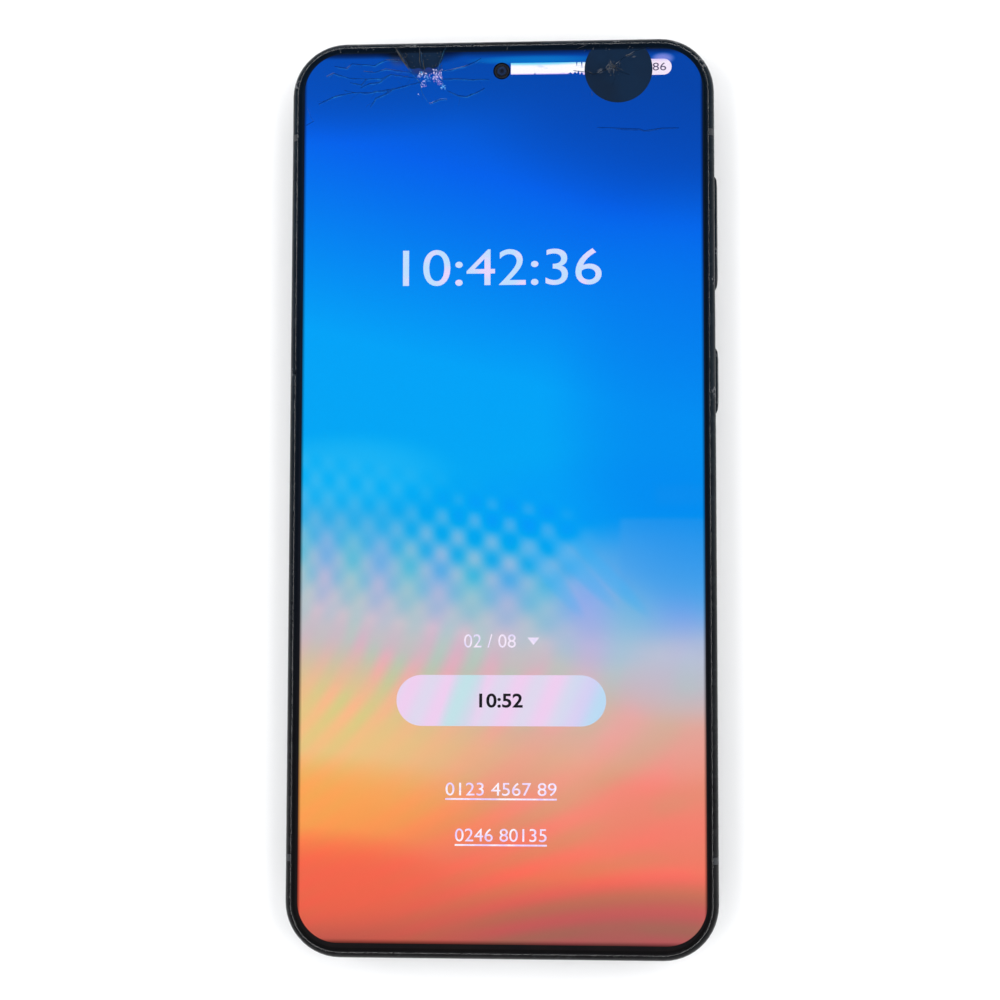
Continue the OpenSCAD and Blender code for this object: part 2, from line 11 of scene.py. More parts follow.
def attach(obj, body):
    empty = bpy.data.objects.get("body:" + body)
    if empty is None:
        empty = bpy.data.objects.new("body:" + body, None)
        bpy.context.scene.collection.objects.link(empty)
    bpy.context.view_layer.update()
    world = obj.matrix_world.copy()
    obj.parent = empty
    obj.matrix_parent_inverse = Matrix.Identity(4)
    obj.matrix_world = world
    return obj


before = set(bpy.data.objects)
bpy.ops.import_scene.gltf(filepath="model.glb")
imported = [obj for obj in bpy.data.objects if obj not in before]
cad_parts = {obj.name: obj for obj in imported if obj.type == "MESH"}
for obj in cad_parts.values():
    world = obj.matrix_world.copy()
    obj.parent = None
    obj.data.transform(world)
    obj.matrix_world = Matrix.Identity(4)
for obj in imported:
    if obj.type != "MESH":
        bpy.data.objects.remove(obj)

for leftover in ("Cube", "Light", "Camera"):
    o = bpy.data.objects.get(leftover)
    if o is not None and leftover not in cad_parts:
        bpy.data.objects.remove(o, do_unlink=True)
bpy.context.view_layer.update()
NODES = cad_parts
MM = 0.001


# ---------------------------------------------------------------- materials: small sums made of nodes
class Val:
    """A number that differs from point to point."""

    def __init__(self, m, s):
        self.m, self.s = m, s

    def __add__(self, o):
        return self.m.math("ADD", self, o)

    def __sub__(self, o):
        return self.m.math("SUBTRACT", self, o)

    def __rsub__(self, o):
        return self.m.math("SUBTRACT", o, self)

    def __mul__(self, o):
        return self.m.math("MULTIPLY", self, o)

    def __truediv__(self, o):
        return self.m.math("DIVIDE", self, o)

    __radd__ = __add__
    __rmul__ = __mul__


class Col:
    def __init__(self, s):
        self.s = s


class Mat:
    """A material. x, y, z are the point in the part's own frame, in millimetres."""

    def __init__(self, name, metal=0.0, rough=0.5, spec=0.5, colour=None):
        self.mat = bpy.data.materials.new(name)
        self.mat.use_nodes = True
        self.t = self.mat.node_tree
        self.t.nodes.clear()
        self.out = self.t.nodes.new("ShaderNodeOutputMaterial")
        self.b = self.t.nodes.new("ShaderNodeBsdfPrincipled")
        self.t.links.new(self.b.outputs[0], self.out.inputs["Surface"])
        tc = self.t.nodes.new("ShaderNodeTexCoord")
        sc = self.t.nodes.new("ShaderNodeVectorMath")
        sc.operation = "SCALE"
        sc.inputs["Scale"].default_value = 1000
        self.t.links.new(tc.outputs["Object"], sc.inputs[0])
        self.p = sc.outputs[0]
        sep = self.t.nodes.new("ShaderNodeSeparateXYZ")
        self.t.links.new(self.p, sep.inputs[0])
        self.x, self.y, self.z = (Val(self, s) for s in sep.outputs)
        self.b.inputs["Metallic"].default_value = metal
        self.b.inputs["Roughness"].default_value = rough
        self.b.inputs["Specular IOR Level"].default_value = spec
        if colour:
            self.b.inputs["Base Color"].default_value = (*colour, 1)
        self.last_normal = None

    def plug(self, socket, v):
        if isinstance(v, (Val, Col)):
            self.t.links.new(v.s, socket)
        elif isinstance(v, tuple):
            socket.default_value = (*v, 1) if len(socket.default_value) == 4 else v
        else:
            socket.default_value = v

    def set(self, name, v):
        self.plug(self.b.inputs[name], v)
        return self

    def math(self, op, *a):
        n = self.t.nodes.new("ShaderNodeMath")
        n.operation = op
        for s, v in zip(n.inputs, a):
            self.plug(s, v)
        return Val(self, n.outputs[0])

    def sin(self, v):
        return self.math("SINE", v)

    def sqrt(self, v):
        return self.math("SQRT", v)

    def clip(self, v):
        n = self.t.nodes.new("ShaderNodeClamp")
        self.plug(n.inputs[0], v)
        return Val(self, n.outputs[0])

    def step(self, v, a, b):
        """0 at a and 1 at b, smooth between them."""
        n = self.t.nodes.new("ShaderNodeMapRange")
        n.interpolation_type = "SMOOTHSTEP"
        self.plug(n.inputs["Value"], v)
        n.inputs["From Min"].default_value = a
        n.inputs["From Max"].default_value = b
        return Val(self, n.outputs["Result"])

    def blob(self, x, y, cx, cy, rx, ry):
        """A soft dome, 1 at its centre and 0 two radii out."""
        u, v = (x - cx) / rx, (y - cy) / ry
        return self.step((u * u + v * v) * 0.25, 1, 0)

    def ball(self, cx, cy, cz, r):
        n = self.t.nodes.new("ShaderNodeVectorMath")
        n.operation = "DISTANCE"
        self.t.links.new(self.p, n.inputs[0])
        n.inputs[1].default_value = (cx, cy, cz)
        return self.step(Val(self, n.outputs["Value"]), r, r * 0.35)

    def ramp(self, v, stops):
        lo, hi = stops[0][0], stops[-1][0]
        n = self.t.nodes.new("ShaderNodeValToRGB")
        e = n.color_ramp.elements
        while len(e) < len(stops):
            e.new(0.5)
        for i, (at, c) in enumerate(stops):
            e[i].position = (at - lo) / (hi - lo)
            e[i].color = (*c, 1) if isinstance(c, tuple) else (c, c, c, 1)
        r = self.t.nodes.new("ShaderNodeMapRange")
        self.plug(r.inputs["Value"], v)
        r.inputs["From Min"].default_value = lo
        r.inputs["From Max"].default_value = hi
        self.t.links.new(r.outputs["Result"], n.inputs[0])
        return Col(n.outputs[0])

    def mix(self, f, a, b):
        n = self.t.nodes.new("ShaderNodeMix")
        n.data_type = "RGBA"
        self.plug(n.inputs[0], f)
        self.plug(n.inputs[6], a)
        self.plug(n.inputs[7], b)
        return Col(n.outputs[2])

    def blend(self, f, a, b):
        """A number between a and b."""
        return f * (b - a) + a

    def add(self, k, c, vec):
        s = self.t.nodes.new("ShaderNodeVectorMath")
        s.operation = "SCALE"
        s.inputs[0].default_value = vec
        self.plug(s.inputs["Scale"], k)
        n = self.t.nodes.new("ShaderNodeVectorMath")
        n.operation = "ADD"
        self.t.links.new(c.s, n.inputs[0])
        self.t.links.new(s.outputs[0], n.inputs[1])
        return Col(n.outputs[0])

    def dim(self, c, k):
        s = self.t.nodes.new("ShaderNodeVectorMath")
        s.operation = "SCALE"
        self.t.links.new(c.s, s.inputs[0])
        self.plug(s.inputs["Scale"], k)
        return Col(s.outputs[0])

    def to_light(self, c):
        """From a display value to light."""
        m = self.t.nodes.new("ShaderNodeVectorMath")
        m.operation = "MAXIMUM"
        self.t.links.new(c.s, m.inputs[0])
        m.inputs[1].default_value = (0, 0, 0)
        n = self.t.nodes.new("ShaderNodeGamma")
        n.inputs["Gamma"].default_value = 2.2
        self.t.links.new(m.outputs[0], n.inputs["Color"])
        return Col(n.outputs[0])

    def place(self, seed=0, stretch=(1, 1, 1), turn=0.0):
        n = self.t.nodes.new("ShaderNodeMapping")
        if turn:
            n.vector_type = "TEXTURE"
            stretch = tuple(1 / k for k in stretch)
        n.inputs["Location"].default_value = (seed * 13.7, seed * 7.1, seed * 3.3)
        n.inputs["Rotation"].default_value = (0, 0, math.radians(turn))
        n.inputs["Scale"].default_value = stretch
        self.t.links.new(self.p, n.inputs["Vector"])
        return n.outputs[0]

    def noise(self, scale, detail=3, rough=0.5, seed=0, stretch=(1, 1, 1), turn=0.0):
        n = self.t.nodes.new("ShaderNodeTexNoise")
        self.t.links.new(self.place(seed, stretch, turn), n.inputs["Vector"])
        n.inputs["Scale"].default_value = scale
        n.inputs["Detail"].default_value = detail
        n.inputs["Roughness"].default_value = rough
        return Val(self, n.outputs["Fac"])

    def cells(self, scale, feature="F1", seed=0, stretch=(1, 1, 1), random_=1.0):
        n = self.t.nodes.new("ShaderNodeTexVoronoi")
        n.feature = feature
        self.t.links.new(self.place(seed, stretch), n.inputs["Vector"])
        n.inputs["Scale"].default_value = scale
        n.inputs["Randomness"].default_value = random_
        return Val(self, n.outputs["Distance"])

    def bump(self, h, depth, strength=1.0):
        """Relief of the given depth in millimetres."""
        n = self.t.nodes.new("ShaderNodeBump")
        n.inputs["Strength"].default_value = strength
        n.inputs["Distance"].default_value = depth * MM
        self.plug(n.inputs["Height"], h)
        if self.last_normal:
            self.t.links.new(self.last_normal, n.inputs["Normal"])
        self.last_normal = n.outputs[0]
        self.t.links.new(n.outputs[0], self.b.inputs["Normal"])
        return self

    def glow(self, c, strength):
        self.set("Emission Color", c)
        self.b.inputs["Emission Strength"].default_value = strength
        return self

    def let_light_through(self):
        """Clear glass that lamps shine through."""
        path = self.t.nodes.new("ShaderNodeLightPath")
        clear = self.t.nodes.new("ShaderNodeBsdfTransparent")
        m = self.t.nodes.new("ShaderNodeMixShader")
        self.t.links.new(path.outputs["Is Shadow Ray"], m.inputs[0])
        self.t.links.new(self.b.outputs[0], m.inputs[1])
        self.t.links.new(clear.outputs[0], m.inputs[2])
        self.t.links.new(m.outputs[0], self.out.inputs["Surface"])
        return self


def two_tone(name, a, b, scale=1.0, metal=0.0, rough=(0.35, 0.55), bump=0.01, detail=4, stretch=(1, 1, 1), spec=0.5):
    m = Mat(name, metal=metal, spec=spec)
    n = m.noise(scale, detail, 0.55, 1, stretch)
    f = m.step(n, 0.3, 0.7)
    m.set("Base Color", m.mix(f, a, b))
    m.set("Roughness", m.blend(m.noise(scale * 2.3, 3, 0.5, 5, stretch), *rough))
    if bump:
        m.bump(m.noise(scale * 6, 3, 0.6, 9, stretch), bump)
    return m


def dress(piece, m):
    me = piece.data
    me.materials.clear()
    me.materials.append(m.mat)


# ---------------------------------------------------------------- meshes
def new_object(name, bm, body="housing", slot=None, m=None, smooth=False):
    bmesh.ops.recalc_face_normals(bm, faces=bm.faces)
    me = bpy.data.meshes.new(name)
    bm.to_mesh(me)
    bm.free()
    me.transform(Matrix.Scale(MM, 4))
    if smooth:
        for p in me.polygons:
            p.use_smooth = True
    ob = bpy.data.objects.new(name, me)
    bpy.context.scene.collection.objects.link(ob)
    if body:
        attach(ob, body)
    if m:
        dress(ob, m)
    return ob


def prism_into(bm, pts, z0, z1):
    """A closed flat slab with the outline pts."""
    lo = [bm.verts.new((x, y, z0)) for x, y in pts]
    hi = [bm.verts.new((x, y, z1)) for x, y in pts]
    for a, b, c in tessellate_polygon([[Vector((x, y, 0)) for x, y in pts]]):
        bm.faces.new((hi[a], hi[b], hi[c]))
        bm.faces.new((lo[c], lo[b], lo[a]))
    k = len(pts)
    for i in range(k):
        j = (i + 1) % k
        bm.faces.new((lo[i], lo[j], hi[j], hi[i]))


def prism(name, outlines, z0, z1, **kw):
    bm = bmesh.new()
    for pts in outlines:
        prism_into(bm, pts, z0, z1)
    return new_object(name, bm, **kw)


def band_into(bm, outer, inner, z0, z1):
    """A closed flat ring between two outlines with the same number of points."""
    k = len(outer)
    v = [[bm.verts.new((x, y, z)) for x, y in loop] for z in (z0, z1) for loop in (outer, inner)]
    ol, il, oh, ih = v
    for i in range(k):
        j = (i + 1) % k
        bm.faces.new((oh[i], oh[j], ih[j], ih[i]))
        bm.faces.new((ol[j], ol[i], il[i], il[j]))
        bm.faces.new((ol[i], ol[j], oh[j], oh[i]))
        bm.faces.new((il[j], il[i], ih[i], ih[j]))


def rounded(x0, x1, y0, y1, r, n=14):
    pts = []
    for cx, cy, a in ((x1 - r, y1 - r, 0), (x0 + r, y1 - r, 90), (x0 + r, y0 + r, 180), (x1 - r, y0 + r, 270)):
        for i in range(n + 1):
            t = math.radians(a + 90 * i / n)
            pts.append((cx + r * math.cos(t), cy + r * math.sin(t)))
    return pts


def disc(cx, cy, r, n=96):
    return [(cx + r * math.cos(2 * math.pi * i / n), cy + r * math.sin(2 * math.pi * i / n)) for i in range(n)]


def soft_loop(pts, n=6):
    """A smooth closed line through the points."""
    out = []
    k = len(pts)
    for i in range(k):
        p0, p1, p2, p3 = (Vector(pts[(i + j - 1) % k]) for j in range(4))
        for s in range(n):
            t = s / n
            q = 0.5 * ((2 * p1) + (p2 - p0) * t + (2 * p0 - 5 * p1 + 4 * p2 - p3) * t * t + (3 * p1 - p0 - 3 * p2 + p3) * t ** 3)
            out.append((q.x, q.y))
    return out


def digits(name, text, x0, x1, y0, y1, z0, z1, bold=0.0, **kw):
    """Plain numbers that fill the given box."""
    cu = bpy.data.curves.new(name + "_line", "FONT")
    cu.body = text
    cu.size = 1
    cu.offset = bold
    cu.extrude = 0.5
    cu.resolution_u = 6
    ob = bpy.data.objects.new(name + "_line", cu)
    bpy.context.scene.collection.objects.link(ob)
    bpy.context.view_layer.update()
    me = bpy.data.meshes.new_from_object(ob.evaluated_get(bpy.context.evaluated_depsgraph_get()))
    bpy.data.objects.remove(ob, do_unlink=True)
    bpy.data.curves.remove(cu)
    bm = bmesh.new()
    bm.from_mesh(me)
    bpy.data.meshes.remove(me)
    xs = [v.co.x for v in bm.verts]
    ys = [v.co.y for v in bm.verts]
    ax, bx, ay, by = min(xs), max(xs), min(ys), max(ys)
    for v in bm.verts:
        v.co = Vector((x0 + (v.co.x - ax) / (bx - ax) * (x1 - x0), y0 + (v.co.y - ay) / (by - ay) * (y1 - y0),
                       z0 if v.co.z < 0 else z1))
    bmesh.ops.remove_doubles(bm, verts=bm.verts, dist=1e-4)
    bmesh.ops.dissolve_degenerate(bm, edges=bm.edges, dist=1e-5)
    return new_object(name, bm, **kw)


def sliver_into(bm, line, w, z_top, z_low, lean=0.0, tail=0.25, w_low=None):
    """A closed wedge of fractured glass under a crack: it follows the line and runs out at both ends."""
    w_low = w if w_low is None else w_low
    pts = [Vector((p[0], p[1])) for p in line]
    total = sum((b - a).length for a, b in zip(pts, pts[1:]))
    run, rows = 0.0, []
    for i, p in enumerate(pts):
        if i:
            run += (p - pts[i - 1]).length
        d = (pts[min(i + 1, len(pts) - 1)] - pts[max(i - 1, 0)]).normalized()
        n = Vector((-d.y, d.x))
        t = run / total
        k = max(0.12, min(1.0, t / tail, (1 - t) / tail))
        c = p + n * lean * k
        rows.append([bm.verts.new((*(p + n * w * k / 2), z_top)), bm.verts.new((*(p - n * w * k / 2), z_top)),
                     bm.verts.new((*(c - n * w_low * k / 2), z_low)), bm.verts.new((*(c + n * w_low * k / 2), z_low))])
    for a, b in zip(rows, rows[1:]):
        for i in range(4):
            j = (i + 1) % 4
            bm.faces.new((a[i], a[j], b[j], b[i]))
    bm.faces.new(rows[0][::-1])
    bm.faces.new(rows[-1])


def wander(line, rng, step=0.9, amount=0.12):
    """The same line with small kinks between its points."""
    out = [Vector(line[0])]
    for a, b in zip(line, line[1:]):
        a, b = Vector(a), Vector(b)
        n = max(1, int((b - a).length / step))
        d = (b - a).normalized()
        s = Vector((-d.y, d.x))
        for i in range(1, n):
            out.append(a + (b - a) * i / n + s * rng.uniform(-amount, amount))
        out.append(b)
    return [(p.x, p.y) for p in out]


# ---------------------------------------------------------------- camera
def set_camera():
    w, zf = 74.0, 8.0
    r = Vector((-4.3746, 3.7621, -0.0357))
    turn = Matrix.Rotation(math.radians(r.length), 3, r.normalized())
    flip = Matrix.Diagonal((1, -1, -1))
    rot = flip @ turn @ flip
    move = flip @ Vector((0.0027, -0.0184, 4.6874)) * w - rot @ Vector((0, 0, zf))
    view = rot.to_4x4()
    view.translation = move * MM
    cam = bpy.data.cameras.new("camera")
    cam.lens = 72
    cam.sensor_width = 36
    cam.clip_start = 0.01
    cam.clip_end = 30
    ob = bpy.data.objects.new("camera", cam)
    bpy.context.scene.collection.objects.link(ob)
    ob.matrix_world = view.inverted()
    bpy.context.scene.camera = ob


def area_light(name, place, aim, size, power, colour=(1, 1, 1)):
    li = bpy.data.lights.new(name, "AREA")
    li.shape = "RECTANGLE"
    li.size, li.size_y = size
    li.energy = power
    li.color = colour
    ob = bpy.data.objects.new(name, li)
    bpy.context.scene.collection.objects.link(ob)
    ob.visible_glossy = False
    ob.visible_transmission = False
    ob.location = place
    ob.rotation_euler = (Vector(aim) - Vector(place)).to_track_quat("-Z", "Y").to_euler()


def set_stage():
    bm = bmesh.new()
    n = 8
    grid = [[bm.verts.new((-4000 + 8000 * i / n, -4000 + 8000 * j / n, -0.02)) for j in range(n + 1)] for i in range(n + 1)]
    for i in range(n):
        for j in range(n):
            bm.faces.new((grid[i][j], grid[i + 1][j], grid[i + 1][j + 1], grid[i][j + 1]))
    m = Mat("stage_paper", rough=0.9, spec=0.1)
    m.set("Base Color", m.mix(m.noise(0.02, 2, 0.5, 2), (0.92, 0.92, 0.92), (0.94, 0.94, 0.94)))
    new_object("floor", bm, body=None, m=m)
    area_light("left_box", (-1.30, -0.10, 1.0), (0, 0, 0), (1.9, 1.8), 27)
    area_light("right_box", (1.30, 0.15, 1.0), (0, 0, 0), (1.9, 1.8), 27)
    area_light("far_box", (0.05, 1.45, 1.0), (0, 0, 0), (2.2, 1.6), 20)
    area_light("near_box", (0.0, -1.50, 0.95), (0, 0, 0), (2.2, 1.6), 19)
    # the room: dim straight above, brighter towards the walls; what the camera sees past the floor is plain pale
    w = bpy.data.worlds.new("room")
    bpy.context.scene.world = w
    w.use_nodes = True
    t = w.node_tree
    t.nodes.clear()
    out = t.nodes.new("ShaderNodeOutputWorld")
    lit, seen, mixer = t.nodes.new("ShaderNodeBackground"), t.nodes.new("ShaderNodeBackground"), t.nodes.new("ShaderNodeMixShader")
    path, tc, sep = t.nodes.new("ShaderNodeLightPath"), t.nodes.new("ShaderNodeTexCoord"), t.nodes.new("ShaderNodeSeparateXYZ")
    height = t.nodes.new("ShaderNodeValToRGB")
    e = height.color_ramp.elements
    e[0].position, e[0].color = 0.0, (0.36, 0.375, 0.40, 1)
    e[1].position, e[1].color = 1.0, (0.010, 0.013, 0.018, 1)
    mid = e.new(0.75)
    mid.color = (0.10, 0.11, 0.13, 1)
    t.links.new(tc.outputs["Generated"], sep.inputs[0])
    t.links.new(sep.outputs[2], height.inputs[0])
    t.links.new(height.outputs[0], lit.inputs[0])
    seen.inputs[0].default_value = (0.93, 0.93, 0.93, 1)
    t.links.new(path.outputs["Is Camera Ray"], mixer.inputs[0])
    t.links.new(lit.outputs[0], mixer.inputs[1])
    t.links.new(seen.outputs[0], mixer.inputs[2])
    t.links.new(mixer.outputs[0], out.inputs["Surface"])
    vs = bpy.context.scene.view_settings
    vs.view_transform = "Standard"
    vs.look = "None"
    vs.exposure = 0
    vs.gamma = 1


# ---------------------------------------------------------------- the lit screen
def screen_colour(M):
    """The screen's picture, in display values: blue above, orange below, with the interference pattern that a
    camera sees on a lit screen across the middle."""
    x, y = M.x, M.y
    # broad field, top to bottom, that leans to the left
    lean = 0.10 + 0.11 * M.step(y, -30, -10) + 0.05 * M.step(y, -5, 30)
    t = y + x * lean
    c = M.ramp(t, [(-80, (0.75, 0.35, 0.30)), (-65, (0.95, 0.45, 0.35)), (-45, (0.90, 0.65, 0.55)), (-25, (0.75, 0.75, 0.80)),
                   (-4, (0.03, 0.65, 0.95)), (20, (0.0, 0.63, 0.97)), (55, (0.0, 0.38, 0.92)), (80, (0.0, 0.27, 0.62))])
    # warm light at the lower left, rose at the lower right, dusk in the corners
    c = M.mix(0.8 * M.blob(x, y, -42, -44, 24, 10), c, (0.93, 0.79, 0.50))
    c = M.mix(0.65 * M.blob(x, y, -40, -55, 23, 5.5), c, (1.0, 0.60, 0.26))
    c = M.mix(0.7 * M.blob(x, y, -34, -67, 15, 5), c, (0.97, 0.39, 0.29))
    c = M.mix(0.5 * M.blob(x, y, 34, -54, 12, 9), c, (0.96, 0.45, 0.40))
    c = M.mix(0.5 * M.blob(x, y, 30, -40, 12, 6), c, (0.89, 0.66, 0.61))
    c = M.mix(0.55 * M.blob(x, y, 33, -29, 12, 6), c, (0.68, 0.75, 0.86))
    c = M.mix(0.65 * M.blob(x, y, 28, -80, 24, 8), c, (0.58, 0.36, 0.37))
    c = M.mix(0.6 * M.blob(x, y, 34, 72, 22, 14), c, (0.04, 0.27, 0.68))
    c = M.mix(0.6 * M.blob(x, y, -30, 77, 24, 8), c, (0.01, 0.28, 0.66))
    c = M.mix(0.6 * M.blob(x, y, 20, -2, 16, 5), c, (0.0, 0.60, 0.97))
    c = M.mix(0.75 * M.blob(x, y, 27, -15, 14, 6), c, (0.46, 0.68, 0.91))
    c = M.mix(0.45 * M.blob(x, y, 17, -22, 7, 5), c, (0.60, 0.69, 0.90))
    # a paler block with a clean upper edge at the right
    block = M.step(x, 19.8, 21.4) * M.step(y, -3.9, -5.3) * M.step(y, -22, -10)
    c = M.mix(block * 0.55, c, (0.34, 0.66, 0.92))
    c = M.mix(0.4 * M.step(x, 25.5, 27.5) * M.blob(x, y, 31, -0.6, 6, 1.4), c, (0.25, 0.62, 0.93))
    c = M.mix(0.5 * M.blob(x, y, 34, 14, 14, 22), c, (0.0, 0.47, 0.92))
    c = M.mix(0.5 * M.blob(x, y, -27, 3.5, 11, 4), c, (0.22, 0.74, 0.96))
    # soft chequer across the middle, which runs out into stripes below
    e = y + 16
    dm = 0.5 * (e - M.sqrt(e * e + 40))
    col = M.sin(1.02 * x - 0.0062 * x * x + 0.012 * x * dm + 0.013 * dm * dm)
    row = M.sin(0.93 * (y + 0.14 * x) + 0.3)
    m = M.step(y + 0.14 * x, -31, -17)
    mu = m * M.step(y + 0.20 * x, 3, -4) * M.step(x, 19, 6)
    dots = col * row
    c = M.add(dots * mu * (0.060 + 0.15 * M.blob(x, y, 3, -8, 13, 5)), c, (1.0, 0.16, -0.10))
    # green and rose tinges between the dots further down, blue rays that fan out to the lower right
    low = M.step(y + 0.2 * x, -9, -17) * m
    c = M.add(M.sin(0.51 * x - 0.0031 * x * x + 1.1) * low * 0.035, c, (1.0, -0.7, 0.5))
    for ax, ay, tilt in ((8.5, -14.5, 0.75), (13.5, -13.5, 0.9), (18.5, -14.5, 0.95)):
        u = (x - ax) + (y - ay) * tilt
        c = M.mix(0.38 * M.blob(u, y, 0, ay, 1.25, 4.0), c, (0.22, 0.68, 0.96))
    ml = (1 - m) * (1 - 0.75 * M.blob(x, y, -34, -64, 22, 14))
    broken = 0.30 + 0.70 * M.step(M.noise(0.075, 1, 0.5, 9), 0.40, 0.58)
    c = M.add(col * ml * broken * (0.036 + 0.044 * M.blob(x, y, -13, -32, 14, 7)), c, (1.0, -0.55, 0.1))
    return c


def make_screen():
    m = Mat("lit_display", rough=0.6, spec=0.0, colour=(0.001, 0.001, 0.001))
    c = screen_colour(m)
    # the light fails round the two dead patches and under the knocks
    x, y = m.x, m.y
    c = m.mix(0.60 * m.blob(x, y, -18.5, 77.2, 0.9, 1.1), c, (0.30, 0.31, 0.42))
    c = m.mix(0.35 * m.blob(x, y, -18.3, 75.2, 1.8, 1.2), c, (0.14, 0.26, 0.70))
    c = m.mix(0.70 * m.blob(x, y, -14.3, 74.7, 1.3, 0.55), c, (0.22, 0.20, 0.36))
    c = m.mix(0.60 * m.blob(x, y, -11.9, 74.9, 0.9, 0.50), c, (0.22, 0.19, 0.40))
    c = m.mix(0.75 * m.blob(x, y, 28.3, 76.2, 1.2, 0.62), c, (0.62, 0.60, 0.92))
    c = m.mix(0.45 * m.blob(x, y, 6.0, 76.3, 7.0, 0.50), c, (0.08, 0.62, 0.90))
    dark = m.clip(0.45 * m.blob(x, y, -14.2, 77.8, 4.2, 1.2) + 0.30 * m.blob(x, y, -26, 78.2, 8, 0.7))
    c = m.dim(c, 1 - dark)
    side = m.step(x, -35.3, -34.4) * m.step(x, 35.5, 34.6)
    c = m.dim(c, (0.25 + 0.75 * side) * (0.45 + 0.55 * m.step(y, 78.3, 76.7)) * (0.35 + 0.65 * m.step(y, -77.8, -76.5)))
    # the very fine grid of the picture points
    grain = m.noise(3.2, 2, 0.5, 3)
    c = m.dim(c, 0.985 + grain * 0.03)
    m.glow(m.dim(m.to_light(c), m.step(m.z, 7.9, 7.985)), 1.09)
    m.set("Roughness", m.blend(m.noise(0.5, 2, 0.5, 8), 0.5, 0.7))
    dress(NODES["display_panel"], m)


def ui_material(name, a, b, scale=0.25, stretch=(1, 1, 1), turn=0.0, strength=1.09):
    """Light print on the screen: two near colours that run into each other."""
    m = Mat(name, rough=0.6, spec=0.0, colour=(0.02, 0.02, 0.02))
    n = m.step(m.noise(scale, 2, 0.5, 4, stretch, turn), 0.35, 0.65)
    m.glow(m.to_light(m.mix(n, a, b)), strength)
    return m


